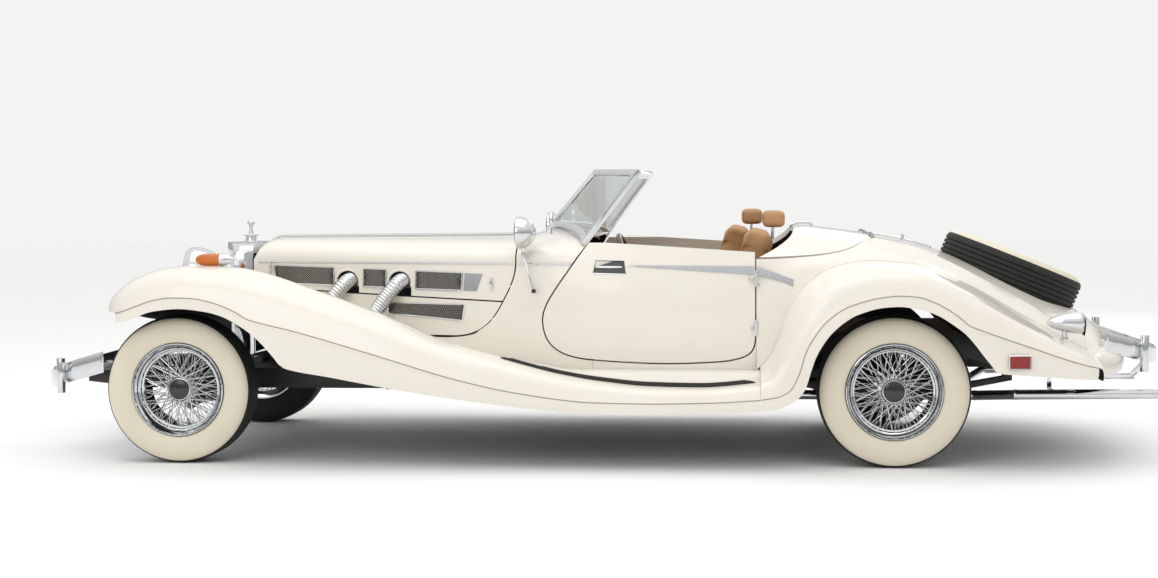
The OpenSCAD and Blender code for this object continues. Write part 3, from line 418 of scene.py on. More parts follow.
def mirrored(piece, name, body):
    """The same piece on the left side."""
    mesh = piece.data.copy()
    mesh.transform(Matrix.Diagonal((1, -1, 1, 1)))
    mesh.flip_normals()
    other = bpy.data.objects.new(name, mesh)
    bpy.context.scene.collection.objects.link(other)
    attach(other, body)
    if "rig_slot" in piece:
        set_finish(other, piece["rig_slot"])
    return other


# Ivory coach paint: solid warm white under clear lacquer, with orange peel of about 3 mm.
ivory_paint, shader, place = start("ivory_paint", Roughness=0.32, IOR=1.5, Coat_Weight=0.8,
                                   Coat_Roughness=0.04)
shade = add(ivory_paint, "TexNoise", {"Vector": place, "Scale": 3.0, "Detail": 5.0})
ivory = shades(ivory_paint, shade, "e6e0d3", "ede8dd")
peel = add(ivory_paint, "TexNoise", {"Vector": place, "Scale": 320.0, "Detail": 1.0})
ripple = add(ivory_paint, "Bump", {"Height": peel.outputs["Fac"], "Strength": 0.05,
                                   "Distance": 0.0004})
plug(ivory_paint, shader, {"Base Color": ivory, "Normal": ripple.outputs["Normal"]})

# Underseal: sprayed bitumen, black and pebbled at about 4 mm.
underseal, shader, place = start("underseal", Roughness=0.85, IOR=1.55)
drops = add(underseal, "TexVoronoi", {"Vector": place, "Scale": 250.0})
lumps = add(underseal, "Bump", {"Height": drops.outputs["Distance"], "Strength": 0.7,
                                "Distance": 0.0012})
plug(underseal, shader, {"Base Color": linear("191817"), "Normal": lumps.outputs["Normal"]})

# Gilt-grey bead lacquer: thin hand-laid line, satin, lighter and darker in patches.
bead_lacquer, shader, place = start("bead_lacquer", Roughness=0.4, IOR=1.5)
hand = add(bead_lacquer, "TexNoise", {"Vector": place, "Scale": 40.0, "Detail": 4.0})
tint = shades(bead_lacquer, hand, "8f8271", "a99b86")
plug(bead_lacquer, shader, {"Base Color": tint})

shoulder_z = 889
shoulder_h = [(205, 248), (1511, 590), (1700, 648), (1900, 684), (2200, 697), (2600, 700),
              (2900, 690)]
belly = [(205, 0), (1500, 18), (1900, 25)]


def side_h(n, z):
    """Half width of the body side at a station and height."""
    return curve(shoulder_h, n) + curve(belly, n) * (1 - ((z - 640) / 250) ** 2)


crest_z = [(-331, 690), (-322, 728), (-300, 760), (-238, 813), (-170, 848), (-74, 876), (60, 889),
           (154, 888),
           (287, 879), (400, 855), (637, 776), (882, 690), (1044, 625), (1189, 562), (1350, 515),
           (1480, 482),
           (1732, 418), (1909, 388), (2129, 366), (2348, 362), (2610, 384)]
crest_h = [(-331, 712), (0, 708), (900, 730), (1200, 765), (1560, 800), (2610, 830)]
bead_z = [(-331, 684), (-261, 696), (-176, 718), (-73, 745), (12, 756), (105, 754), (197, 737),
          (289, 703),
          (372, 658), (427, 643), (565, 610), (917, 508), (1313, 391), (1564, 338), (1896, 299),
          (2147, 295),
          (2395, 300), (2610, 312)]
bead_h = [(-331, 850), (-250, 885), (-100, 905), (200, 913), (900, 915), (2610, 915)]
lip_z = [(-331, 640), (-254, 648), (-198, 663), (-76, 696), (50, 707), (167, 695), (241, 676),
         (314, 639),
         (378, 595), (424, 553), (469, 503), (519, 447), (722, 407), (1177, 327), (1643, 268),
         (1895, 250),
         (2146, 246), (2395, 252), (2610, 262)]
inner_z = [(-331, 655), (-250, 640), (-100, 615), (150, 600), (600, 560), (1200, 500), (1560, 455),
           (1800, 425),
           (2610, 425)]
nose_h = [(-331, 560), (-200, 490), (-60, 400), (60, 310), (205, 250)]
inner_shoulder_h = [(-331, 615), (0, 580), (400, 585), (860, 600), (1200, 660), (1560, 730),
                    (1800, 768), (2610, 778)]


def clamp(t):
    return max(0.0, min(1.0, t))


def front_fender_line(n):
    """Corners of the fender's section, from the body out to the bead."""
    zi, zc, zb = curve(inner_z, n), curve(crest_z, n), curve(bead_z, n)
    hi = (curve(nose_h, n) if n < 205 else side_h(n, zi) + 0.95) + 8
    hs = max(hi + 12, curve(inner_shoulder_h, n))
    hc, hb = curve(crest_h, n), curve(bead_h, n)
    return [(hi, zi), (mix(hi, hs, 0.6), mix(zi, zc, 0.16)), (hs, mix(zi, zc, 0.66)), (hc, zc),
            (mix(hc, hb, 0.74), mix(zb, zc, 0.72)), (hb, zb)]


def front_fender_point(n, h, z):
    """The nose's front edge is rounded back towards the outside."""
    pull = 75 * clamp((100 - n) / 431) ** 2
    hc, hb = curve(crest_h, n), curve(bead_h, n)
    return (n + pull * ((h - hc) / (hb - hc)) ** 2, h, z)


def fender_lip(e, lip, row, point, n):
    """Row from the body to the lip: rolled over the last few millimetres."""
    fall = [(e[0] - 2 * t, mix(e[1], lip, t)) for t in (0.25, 0.5, 0.75)] + [(e[0] - 5, lip)]
    return [point(n, h, z) for h, z in row + fall]


stations = sorted(set([-331, -329, -326, -321, -314, -305, -294, -282] + steps(-268, 500, 64)
                      + steps(500, 2610, 84)))
grid = []
for n in stations:
    line = front_fender_line(n)
    row = [(line[0][0] - 8, line[0][1])] + [tuple(p) for p in smooth(line, 7)]
    grid.append(fender_lip(line[-1], curve(lip_z, n), row, front_fender_point, n))
right = skin("front_fender_right_shell", grid, 4, [ivory_paint, underseal], "car_body",
             "ivory_paint")
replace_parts(right, "front_fender_right")
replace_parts(mirrored(right, "front_fender_left_shell", "car_body"), "front_fender_left")


def wire(name, points, radius, finish, body, slot, sides=8, both=True):
    """Round strip along points in mm, on the right side and its mirror image."""
    verts, faces = tube([at(*p) for p in points], radius / 1000
                        if not isinstance(radius, list) else [r / 1000 for r in radius], sides)
    piece = build(f"{name}_right" if both else name, verts, faces, [finish])
    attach(piece, body)
    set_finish(piece, slot)
    if both:
        mirrored(piece, f"{name}_left", body.replace("right", "left"))
    return piece


bead = [front_fender_point(n, curve(bead_h, n) - 1.2, curve(bead_z, n)) for n in stations]
wire("front_bead", bead, 2.6, bead_lacquer, "car_body", "ivory_paint")

# ---------------------------------------------------------------------------
# Running-board treads: three ribbed rubber strips on each side.
# Moulded rubber, pinned along the crest of the board.

for number, (share, first, last) in enumerate(((2.72, 1640, 2560), (2.9, 1500, 2580),
                                               (3.08, 1470, 2590))):
    path = []
    for n in steps(first, last, 60):
        h, z = through(front_fender_line(n), share)
        path.append((n, h, z + 2))
    radius = [1.5] + [6.5] * 59 + [1.5]
    wire(f"tread_strip_{number + 1}", path, radius, tyre_rubber, "car_body", "tyre_rubber")

# ---------------------------------------------------------------------------
# Rear fenders and quarter panels, which end the body behind the doors.
# The fender arches over the wheel and drops to a point at the tail.

gap_h = [(2595, 694), (2843, 660), (3012, 600), (3079, 556), (3112, 508), (3130, 500), (4050, 470)]
gap_z = [(2595, 911), (2663, 912), (2843, 922), (2944, 935), (3012, 954), (3079, 985), (3118, 996),
         (3150, 992),
         (3251, 966), (3347, 936), (3448, 891), (3637, 792), (3816, 693), (3886, 647), (3990, 590),
         (4050, 556),
         (4125, 520)]
deck_z = [(2595, 1040), (2800, 1044), (2937, 1030), (3033, 1018), (3118, 1005), (3250, 982),
          (3450, 925),
          (3600, 868), (3750, 805), (3886, 745), (4050, 664), (4125, 622)]
deck_power = [(2700, 4), (3100, 3), (3400, 2.2)]
middle_h = [(2595, 722), (2790, 702), (2945, 672), (3095, 610), (3300, 575), (3600, 550),
            (4050, 510)]
middle_z = [(2595, 670), (2660, 760), (2790, 866), (2945, 908), (3095, 948), (3251, 928),
            (3448, 850), (3637, 762),
            (3816, 664), (3950, 588), (4050, 533)]
valley_h = [(2595, 726), (2790, 722), (2945, 695), (3095, 665), (3275, 645), (3510, 620),
            (3745, 600), (3930, 570),
            (4050, 540)]
valley_z = [(2595, 425), (2640, 470), (2680, 545), (2720, 660), (2790, 780), (2945, 880),
            (3095, 903), (3275, 888),
            (3510, 800), (3745, 668), (3930, 563), (4050, 500)]
crown_h = [(2595, 850), (2790, 838), (3095, 805), (3510, 790), (3930, 735), (4050, 690)]
crown_z = [(2595, 384), (2650, 412), (2700, 490), (2750, 606), (2790, 690), (2850, 770),
           (2945, 838), (3095, 875),
           (3200, 876), (3330, 850), (3510, 762), (3745, 635), (3930, 540), (4050, 480)]
rear_bead_h = [(2595, 915), (3100, 915), (3500, 908), (3800, 880), (3950, 850), (4050, 800)]
rear_bead_z = [(2595, 311), (2684, 326), (2735, 352), (2774, 419), (2808, 526), (2846, 592),
               (2890, 647),
               (2944, 691), (2998, 719), (3120, 752), (3196, 760), (3271, 756), (3330, 739),
               (3406, 700),
               (3458, 663), (3495, 632), (3540, 614), (3756, 537), (3977, 462), (4050, 443)]
rear_lip_z = [(2595, 261), (2684, 273), (2725, 290), (2770, 318), (2792, 343), (2808, 376),
              (2825, 432),
              (2846, 493), (2879, 553), (2917, 602), (2971, 649), (3025, 680), (3134, 710),
              (3198, 714),
              (3257, 708), (3312, 695), (3366, 674), (3419, 641), (3474, 600), (3516, 554),
              (3554, 504),
              (3592, 456), (3612, 430), (3726, 419), (4050, 392)]


def rear_fender_line(n):
    hv, zv, hc, zc = curve(valley_h, n), curve(valley_z, n), curve(crown_h, n), curve(crown_z, n)
    hb, zb = curve(rear_bead_h, n), curve(rear_bead_z, n)
    return [(hv + 0.95, zv - 0.95), (hc, zc), (mix(hc, hb, 0.72), mix(zb, zc, 0.72)), (hb, zb)]


grid = []
rear_stations = steps(2611, 2880, 46) + steps(2880, 4050, 84)[1:]
for n in rear_stations:
    line = rear_fender_line(n)
    row = [tuple(p) for p in smooth(line, 10)]
    grid.append(fender_lip(line[-1], curve(rear_lip_z, n), row, lambda n, h, z: (n, h, z), n))
right = skin("rear_fender_right_shell", grid, 4, [ivory_paint, underseal], "car_body",
             "ivory_paint")
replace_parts(right, "rear_fender_right")
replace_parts(mirrored(right, "rear_fender_left_shell", "car_body"), "rear_fender_left")
wire("rear_bead", [(n, curve(rear_bead_h, n) - 1.2, curve(rear_bead_z, n)) for n in rear_stations],
     2.6, bead_lacquer,
     "car_body", "ivory_paint")

grid = []
for n in steps(2595, 4050, 110):
    line = [(curve(gap_h, n), curve(gap_z, n)), (curve(middle_h, n), curve(middle_z, n)),
            (curve(valley_h, n), curve(valley_z, n))]
    grid.append([(n, h, z) for h, z in smooth(line, 10)])
right = skin("quarter_right", grid, 4, [ivory_paint, underseal], "car_body", "ivory_paint")
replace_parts(right, "body_shell")
mirrored(right, "quarter_left", "car_body")

# ---------------------------------------------------------------------------
# Scuttle and sills round the doors, one wall with them.
# Each panel is cut along the doors' and the bonnet's own outlines, a finger's width apart.

hood_top = [(211, 925), (222, 955), (245, 982), (290, 996), (1500, 1003), (1620, 1030),
            (1880, 1012)]
scuttle_line = smooth([(1512, 1100), (1512, 950), (1510, 864), (1492, 799), (1460, 734),
                       (1420, 665), (1370, 610),
                       (1300, 572), (1200, 557), (1100, 556)], 4)
door_line = smooth([(1858, 990), (1818, 937), (1760, 855), (1705, 777), (1662, 705), (1645, 640),
                    (1660, 565),
                    (1705, 512), (1790, 478), (1950, 462), (2190, 453), (2400, 460), (2500, 472),
                    (2560, 496),
                    (2584, 535), (2589, 600)], 4) + [Vector((2589, 941))]
shut_gap, body_foot = 6.5, 395.4


def bonnet_outline(grow=0):
    points = [(0, 1100)] + [(p[0] + grow, p[1] - (grow if p[0] < 1330 else 0))
                            for p in scuttle_line]
    return points + [(0, 556 - grow)]


door_opening = []
for i, p in enumerate(door_line):
    d = (door_line[min(len(door_line) - 1, i + 1)] - door_line[max(0, i - 1)]).normalized()
    if i == 0:
        door_opening.append((p[0] - shut_gap, p[1] + 200))
    elif i == len(door_line) - 1:
        door_opening.append((p[0] + shut_gap, p[1] + 200))
    else:
        door_opening.append((p[0] + shut_gap * d[1], p[1] - shut_gap * d[0]))


def carve(piece, tool, how="DIFFERENCE"):
    """Cuts a piece with a tool, which is used up."""
    cut = piece.modifiers.new("cut", "BOOLEAN")
    cut.operation, cut.object, cut.solver = how, tool, "EXACT"
    graph = bpy.context.evaluated_depsgraph_get()
    mesh = bpy.data.meshes.new_from_object(piece.evaluated_get(graph))
    piece.modifiers.clear()
    piece.data = mesh
    mesh.shade_smooth()
    mesh.set_sharp_from_angle(angle=math.radians(35))
    bpy.data.objects.remove(tool)
    return piece


def prism(outline, h0, h1, finish):
    """Cutting block over an outline in station and height, between two half widths."""
    count = len(outline)
    verts = [at(n, h, z) for h in (h0, h1) for n, z in [tuple(p) for p in outline]]
    faces = [tuple(range(count)), tuple(range(count, 2 * count))]
    faces += [(k, (k + 1) % count, count + (k + 1) % count, count + k) for k in range(count)]
    return build("tool", verts, faces, [finish])


def section_top(n, a):
    """Point of the bonnet's or scuttle's arch at angle a from the middle."""
    a = math.radians(a)
    return (n, side_h(n, shoulder_z) * math.sin(a) ** 0.72,
            shoulder_z + (curve(hood_top, n) - shoulder_z) * math.cos(a) ** 0.72)


def section_side(n, z):
    return (n, side_h(n, z), z)


grid = []
for n in steps(1100, 1868, 64):
    top = [section_top(n, a) for a in [0, 1, 2.5] + steps(5, 85, 20) + [87.5, 90]]
    grid.append(top + [section_side(n, z) for z in steps(875, body_foot, 24)])
right = skin("scuttle_right", grid, 8, [ivory_paint, underseal], None, "ivory_paint")
carve(right, prism(bonnet_outline(shut_gap), -50, 1100, underseal))
carve(right, prism(door_opening, 300, 1100, ivory_paint))
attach(right, "car_body")
mirrored(right, "scuttle_left", "car_body")

grid = [[section_side(n, z) for z in steps(945, body_foot, 30)] for n in steps(1869, 2594, 40)]
right = skin("sill_right", grid, 45, [ivory_paint, underseal], None, "ivory_paint")
carve(right, prism(door_opening, 300, 1100, ivory_paint))
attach(right, "car_body")
mirrored(right, "sill_left", "car_body")

# ---------------------------------------------------------------------------
# Bonnet: two halves hinged along the middle, closed over fixed lower side panels.
# Pressed panels with a row of three screened vents and notches for the pipes.

seam_z = [(211, 775), (652, 753), (1440, 722), (1560, 718)]
pipe_stations, pipe_half = (702, 962), 56
grid = []
for n in [211, 215, 222, 231, 242, 256, 275] + steps(300, 1518, 90):
    inner = math.degrees(math.asin((5 / side_h(n, shoulder_z)) ** (1 / 0.72)))
    top = [section_top(n, a) for a in [inner, 2, 4] + steps(6, 86, 24) + [88, 90]]
    grid.append(top + [section_side(n, z) for z in steps(shoulder_z, curve(seam_z, n), 8)[1:]])
right = skin("bonnet_right_panel", grid, 4, [ivory_paint, underseal], None, "ivory_paint")
carve(right, prism(bonnet_outline(), -50, 1100, ivory_paint), "INTERSECT")
for n in pipe_stations:
    notch = [(n - 62, 600)] + [(n - 6 - pipe_half * math.cos(a), 800 + pipe_half * math.sin(a))
                               for a in steps(0, math.pi, 16)] + [(n + 50, 600)]
    carve(right, prism(notch, 200, 800, ivory_paint))
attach(right, "bonnet_right")
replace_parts(right, "bonnet_right")
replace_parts(mirrored(right, "bonnet_left_panel", "bonnet_left"), "bonnet_left")

grid = [[section_side(n, mix(curve(seam_z, n) - shut_gap, 560, t)) for t in steps(0, 1, 10)]
        for n in steps(211, 1518, 80)]
right = skin("engine_side_right", grid, 4, [ivory_paint, underseal], None, "ivory_paint")
carve(right, prism(bonnet_outline(), -50, 1100, ivory_paint), "INTERSECT")
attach(right, "car_body")
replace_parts(right, "engine_side_panels")
mirrored(right, "engine_side_left", "car_body")

# Bonnet hinge: rolled chrome piano hinge over the middle pin.
wire("bonnet_hinge", [(n, 0, curve(hood_top, n) + 3 + 6 * clamp((n - 205) / 60))
                      for n in steps(214, 1524, 60)], 6, chrome,
     "car_body", "chrome_trim", both=False)


def side_plate(name, upper, lower, lift, thickness, finish, body, slot, count=40, rise=3):
    """Thin plate on the body side between two lines in station and height, lifted off it."""
    n0, n1 = upper[0][0], upper[-1][0]
    grid = []
    for t in steps(0, 1, count):
        a = (mix(upper[0][0], upper[-1][0], t), curve(upper, mix(n0, n1, t)))
        b = (mix(lower[0][0], lower[-1][0], t), curve(lower, mix(lower[0][0], lower[-1][0], t)))
        row = []
        for s in steps(0, 1, rise):
            n, z = mix(a[0], b[0], s), mix(a[1], b[1], s)
            row.append((n, side_h(n, z) + lift, z))
        grid.append(row)
    right = skin(f"{name}_right", grid, thickness, [finish, finish], body, slot)
    mirrored(right, f"{name}_left", body.replace("right", "left"))
    return right


# Vent screens: woven steel wire at 10 mm, dull, over a near-black sheet of painted shade that stands
# for the shaded opening behind them.
# Painted shade: blotchy near-black backing behind the vent screens; the radiator's black core behind
# the slats takes the same finish.
shade_and_black, shader, place = start("vent_baffle", Roughness=0.8, IOR=1.5)
blotch_noise = add(shade_and_black, "TexNoise", {"Vector": place, "Scale": 80.0, "Detail": 4.0})
backing_tone = shades(shade_and_black, blotch_noise, "1a1918", "35332f")
plug(shade_and_black, shader, {"Base Color": backing_tone})
woven_wire, shader, place = start("woven_wire", Metallic=0.9, Roughness=0.35)
rub = add(woven_wire, "TexNoise", {"Vector": place, "Scale": 200.0, "Detail": 3.0})
steel = shades(woven_wire, rub, "77746d", "a8a49b")
plug(woven_wire, shader, {"Base Color": steel})


def vent(name, upper, lower, body):
    """Screen of crossed wires in a chrome frame, over a sheet of painted shade."""
    # The sheet behind the screen is painted shade.
    side_plate(f"{name}_baffle", upper, lower, 0.8, 0.6, shade_and_black, body, "grille_mesh")
    n0, n1 = upper[0][0], upper[-1][0]
    m0, m1 = lower[0][0], lower[-1][0]
    edge = lambda t, s: (mix(mix(n0, n1, t), mix(m0, m1, t), s),
                         mix(curve(upper, mix(n0, n1, t)), curve(lower, mix(m0, m1, t)), s))
    parts, length, height = [], n1 - n0, upper[0][1] - lower[0][1]
    for way in (-1, 1):
        for k in range(-int(height / 11), int(length / 11) + 1):
            ends = []
            for s in steps(0, 1, 3):
                t = (k * 11 + (s if way > 0 else 1 - s) * height) / length
                if 0 <= t <= 1:
                    n, z = edge(t, s)
                    ends.append(at(n, side_h(n, z) + 2 + way * 0.6, z))
            if len(ends) > 1:
                parts.append(tube(ends, 0.0011, 4, False))
    border = [edge(t, 0) for t in steps(0, 1, 30)] + [edge(1, 0.5)]
    border += [edge(t, 1) for t in steps(1, 0, 30)] + [edge(0, 0.5), edge(0, 0)]
    rim = tube([at(n, side_h(n, z) + 2.5, z) for n, z in border], 0.004, 6)
    verts, faces, counts = joined(parts + [rim])
    picks = [0] * (len(faces) - counts[-1]) + [1] * counts[-1]
    right = build(f"{name}_screen_right", verts, faces, [woven_wire, chrome], picks, closed=False)
    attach(right, body)
    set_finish(right, "grille_mesh")
    mirrored(right, f"{name}_screen_left", body.replace("right", "left"))


vent("front_vent", [(321, 873), (628, 864)], [(326, 789), (624, 781)], "bonnet_right")
vent("middle_vent", [(775, 860), (888, 857)], [(775, 777), (888, 774)], "bonnet_right")
vent("rear_vent", [(1035, 852), (1262, 845)], [(1035, 770), (1256, 765)], "bonnet_right")
side_plate("vent_end", [(1272, 845), (1359, 842)], [(1266, 765), (1330, 763)], 3, 3, chrome,
           "bonnet_right", "chrome_trim", 8)
vent("lower_vent", [(897, 704), (1272, 700)], [(896, 655), (1261, 628)], "car_body")

# Belt strip: half-round chrome moulding at the shoulder, on over the scuttle.
wire("bonnet_strip", [(n, side_h(n, shoulder_z) + 1, shoulder_z) for n in steps(237, 1500, 60)], 5,
     chrome, "bonnet_right",
     "chrome_trim")
wire("scuttle_strip", [(n, side_h(n, shoulder_z) + 1, shoulder_z) for n in steps(1521, 1774, 20)],
     5, chrome, "car_body",
     "chrome_trim")

# Bonnet catches: a turned chrome handle on a round foot near each end of each half.
for number, (n, z) in enumerate(((1400, 800), (300, 860))):
    foot = side_h(n, z)
    parts = [tube([at(n, foot, z), at(n, foot + 12, z)], 0.009, 16),
             tube([at(n, foot + 10, z + 26), at(n, foot + 12, z), at(n, foot + 10, z - 30)],
                  [0.004, 0.007, 0.005], 12)]
    verts, faces, _ = joined(parts)
    right = build(f"bonnet_catch_{number + 1}_right", verts, faces, [chrome])
    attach(right, "bonnet_right")
    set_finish(right, "chrome_trim")
    mirrored(right, f"bonnet_catch_{number + 1}_left", "bonnet_left")

# ---------------------------------------------------------------------------
# Doors: panel and trim 45 mm thick, leather card inside, wood capping on top.
# A bright spear widens along the outside to a recessed lever handle.

# Tan leather: pigmented hide, semi-matt, with grain of about 1.5 mm.
tan_leather, shader, place = start("tan_leather", Roughness=0.48, IOR=1.5, Coat_Weight=0.1,
                                   Coat_Roughness=0.35)
tone = add(tan_leather, "TexNoise", {"Vector": place, "Scale": 6.0, "Detail": 6.0})
hide = shades(tan_leather, tone, "a5774a", "c6996a")
cells = add(tan_leather, "TexVoronoi", {"Vector": place, "Scale": 650.0})
grain = add(tan_leather, "Bump", {"Height": cells.outputs["Distance"], "Strength": 0.35,
                                  "Distance": 0.0006})
plug(tan_leather, shader, {"Base Color": hide, "Normal": grain.outputs["Normal"]})

# Varnished walnut: brown figure along the piece under clear gloss varnish.
walnut, shader, place = start("walnut", Roughness=0.3, IOR=1.5, Coat_Weight=0.7,
                              Coat_Roughness=0.06)
along = add(walnut, "Mapping", {"Vector": place, "Scale": (2.0, 0.6, 9.0)})
figure = add(walnut, "TexNoise", {"Vector": along.outputs["Vector"], "Scale": 14.0, "Detail": 8.0,
                                  "Distortion": 1.2})
brown = add(walnut, "ValToRGB", {"Fac": figure.outputs["Fac"]})
brown.color_ramp.elements[0].position, brown.color_ramp.elements[1].position = 0.36, 0.64
brown.color_ramp.elements[0].color = linear("3b1f10")
brown.color_ramp.elements[1].color = linear("7c4a27")
plug(walnut, shader, {"Base Color": brown.outputs["Color"]})

grid = [[section_side(n, z) for z in steps(985, body_foot, 36)] for n in steps(1640, 2592, 56)]
right = skin("door_right_shell", grid, 45, [ivory_paint, ivory_paint], None, "ivory_paint")
carve(right, prism([(p[0], p[1]) for p in door_line], 300, 1100, ivory_paint), "INTERSECT")
handle = [(1873, 850), (1885, 908), (2012, 905), (2020, 846)]
carve(right, prism(handle, side_h(1945, 878) - 10, 900, shade_and_black))
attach(right, "door_right")
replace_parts(right, "door_right")
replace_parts(mirrored(right, "door_left_shell", "door_left"), "door_left")

side_plate("door_spear", [(2024, 886), (2585, 880)], [(2024, 881), (2585, 842)], 3, 4, chrome,
           "door_right", "chrome_trim")
side_plate("quarter_spear", [(2598, 878), (2690, 846), (2800, 806)],
           [(2598, 842), (2690, 818), (2790, 772)], 4, 3, chrome,
           "car_body", "chrome_trim", 16)
side_plate("door_card", [(1700, 880), (2560, 850)], [(1720, 540), (2560, 540)], -46, 4, tan_leather,
           "door_right",
           "tan_leather", 30, 12)
side_plate("door_capping", [(1800, 918), (2570, 900)], [(1800, 888), (2570, 868)], -47, 8, walnut,
           "door_right",
           "dash_wood", 30, 2)
wire("door_handle", [(n, side_h(n, 878) + 2, 877) for n in (1886, 1900, 1940, 1980, 2004)],
     [3, 5, 6, 6, 4], chrome,
     "door_right", "chrome_trim", 12)
wire("handle_edge", [(n, side_h(n, z) + 1, z) for n, z in handle + handle[:1]], 3, chrome,
     "door_right", "chrome_trim")
side_plate("handle_plate", [(1886, 905), (2011, 902)], [(1876, 852), (2017, 848)], -6, 3,
           black_enamel, "door_right",
           "chrome_trim", 8)
wire("door_slot", [(n, side_h(n, 940) - 18, 938) for n in steps(1905, 1990, 4)], 4, chrome,
     "door_right", "chrome_trim")

# Hinges: steel barrels on a pin, one above the other, with their leaves.
for number, z in enumerate((610, 828)):
    parts = [tube([at(2592, 732.5, z - 22), at(2592, 732.5, z + 22)], 0.007, 16),
             tube([at(2588, 728, z), at(2565, 712, z)], 0.01, 8)]
    verts, faces, _ = joined(parts)
    right = build(f"door_hinge_{number + 1}_right", verts, faces, [chrome])
    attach(right, "door_right")
    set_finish(right, "chrome_trim")
    mirrored(right, f"door_hinge_{number + 1}_left", "door_left")
    parts = [tube([at(2592, 732.5, z - 36), at(2592, 732.5, z + 36)], 0.004, 12)]
    for e in (-30, 30):
        parts.append(tube([at(2592, 732.5, z + e), at(2615, 690, z + e), at(2620, 650, z + e)],
                          0.006, 8))
    verts, faces, _ = joined(parts)
    right = build(f"hinge_post_{number + 1}_right", verts, faces, [chrome])
    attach(right, "car_body")
    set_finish(right, "chrome_trim")
    mirrored(right, f"hinge_post_{number + 1}_left", "car_body")

# ---------------------------------------------------------------------------
# Hood cover, boot lid with its spare-wheel well, and the tail panel below.
# Moulded lids in ivory paint that meet at one chrome-hinged seam.


def deck_at(n, h):
    """Height of the deck at a station and half width."""
    edge = curve(gap_z, n)
    share = clamp(abs(h) / curve(gap_h, n)) ** curve(deck_power, n)
    return edge + (curve(deck_z, n) - edge) * (1 - share)


def lid_h(n):
    return curve(gap_h, n) - shut_gap - 4


def lid_rear(f):
    return mix(4044, 4112, 1 - f**2)


hinge_n, hinge_z = 3115, 1011.5


def edged(count):
    """Even shares from -1 to 1 with close rows at both edges."""
    return [-1, -0.997, -0.99] + steps(-0.98, 0.98, count) + [0.99, 0.997, 1]


grid = []
for t in [0, 0.004, 0.012] + steps(0.03, 0.97, 40) + [0.985, 1]:
    row = []
    for f in edged(50):
        n = mix(mix(2608, 2768, 1 - abs(f) ** 7), hinge_n - 9, t)
        row.append((n, f * lid_h(n), deck_at(n, f * lid_h(n))))
    grid.append(row)
cover = skin("hood_cover_panel", grid, 28, [ivory_paint, underseal], "hood_cover", "ivory_paint")
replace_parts(cover, "hood_cover")

spare_place = Matrix.Translation(spare_centre) @ spare_lean


def drum(radius, low, high, finish, around=96):
    """Cylinder on the spare wheel's axis, in mm."""
    verts, faces = tube([spare_place @ Vector((0, 0, z / 1000)) for z in (low, high)],
                        radius / 1000, around)
    return build("tool", verts, faces, [finish])


grid = []
for t in [0, 0.004, 0.012] + steps(0.03, 0.97, 60) + [0.985, 1]:
    row = []
    for f in edged(44):
        n = mix(hinge_n + 9, lid_rear(f), t)
        row.append((n, f * lid_h(n), deck_at(n, f * lid_h(n))))
    grid.append(row)
lid = skin("boot_lid_panel", grid, 18, [ivory_paint, underseal], None, "ivory_paint")
verts = [at(*p) - Vector((0, 0, 0.002)) for row in grid
         for p in row] + [at(p[0], p[1], p[2] - 420) for row in grid for p in row]
top, under, edge = slab_faces(len(grid), len(grid[0]))
well = build("boot_well", verts, top + under + edge, [ivory_paint])
carve(well, drum(345, -111, 140, ivory_paint), "INTERSECT")
carve(well, drum(340, -106, 600, ivory_paint))
carve(lid, drum(342, -106, 600, ivory_paint))
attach(lid, "boot_lid")
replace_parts(lid, "boot_lid")
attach(well, "boot_lid")
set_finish(well, "ivory_paint")
carrier = drum(55, -106, 4, chassis_enamel, 40)
carrier.name = "spare_carrier"
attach(carrier, "boot_lid")
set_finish(carrier, "chassis_black")


def tail_top(h):
    if abs(h) < 470:
        return deck_at(lid_rear(clamp(abs(h) / 480)) + shut_gap, h)
    return curve([(470, 556), (510, 533), (540, 500), (690, 480), (770, 466), (800, 444)], abs(h))


def tail_column(h):
    top = tail_top(h)
    pull = 0.0003 * h**2 + 190 * clamp((abs(h) - 500) / 300) ** 2
    knee, start_n = min(505, top - 6), lid_rear(clamp(abs(h) / 480)) + shut_gap
    crease, roll = max(4066, 4192 - pull), max(4078, 4287 - pull)
    line = [(start_n, top), (mix(start_n, crease, 0.5), mix(top, knee, 0.3)),
            (mix(start_n, crease, 0.84), mix(top, knee, 0.65)), (crease, knee)]
    line += [(mix(crease, roll, a), mix(385, knee, b)) for a,
             b in ((0.45, 0.93), (0.86, 0.72), (1, 0.4), (0.86, 0.12), (0.3, 0))]
    return [(p[0], h, p[1]) for p in smooth(line, 3)]


tail_columns = [tail_column(h) for h in steps(-796, 796, 90)]
tail = skin("tail_skin", [[c[i] for c in tail_columns] for i in range(len(tail_columns[0]))], 4,
            [ivory_paint, underseal],
            "car_body", "ivory_paint")
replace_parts(tail, "tail_panel")

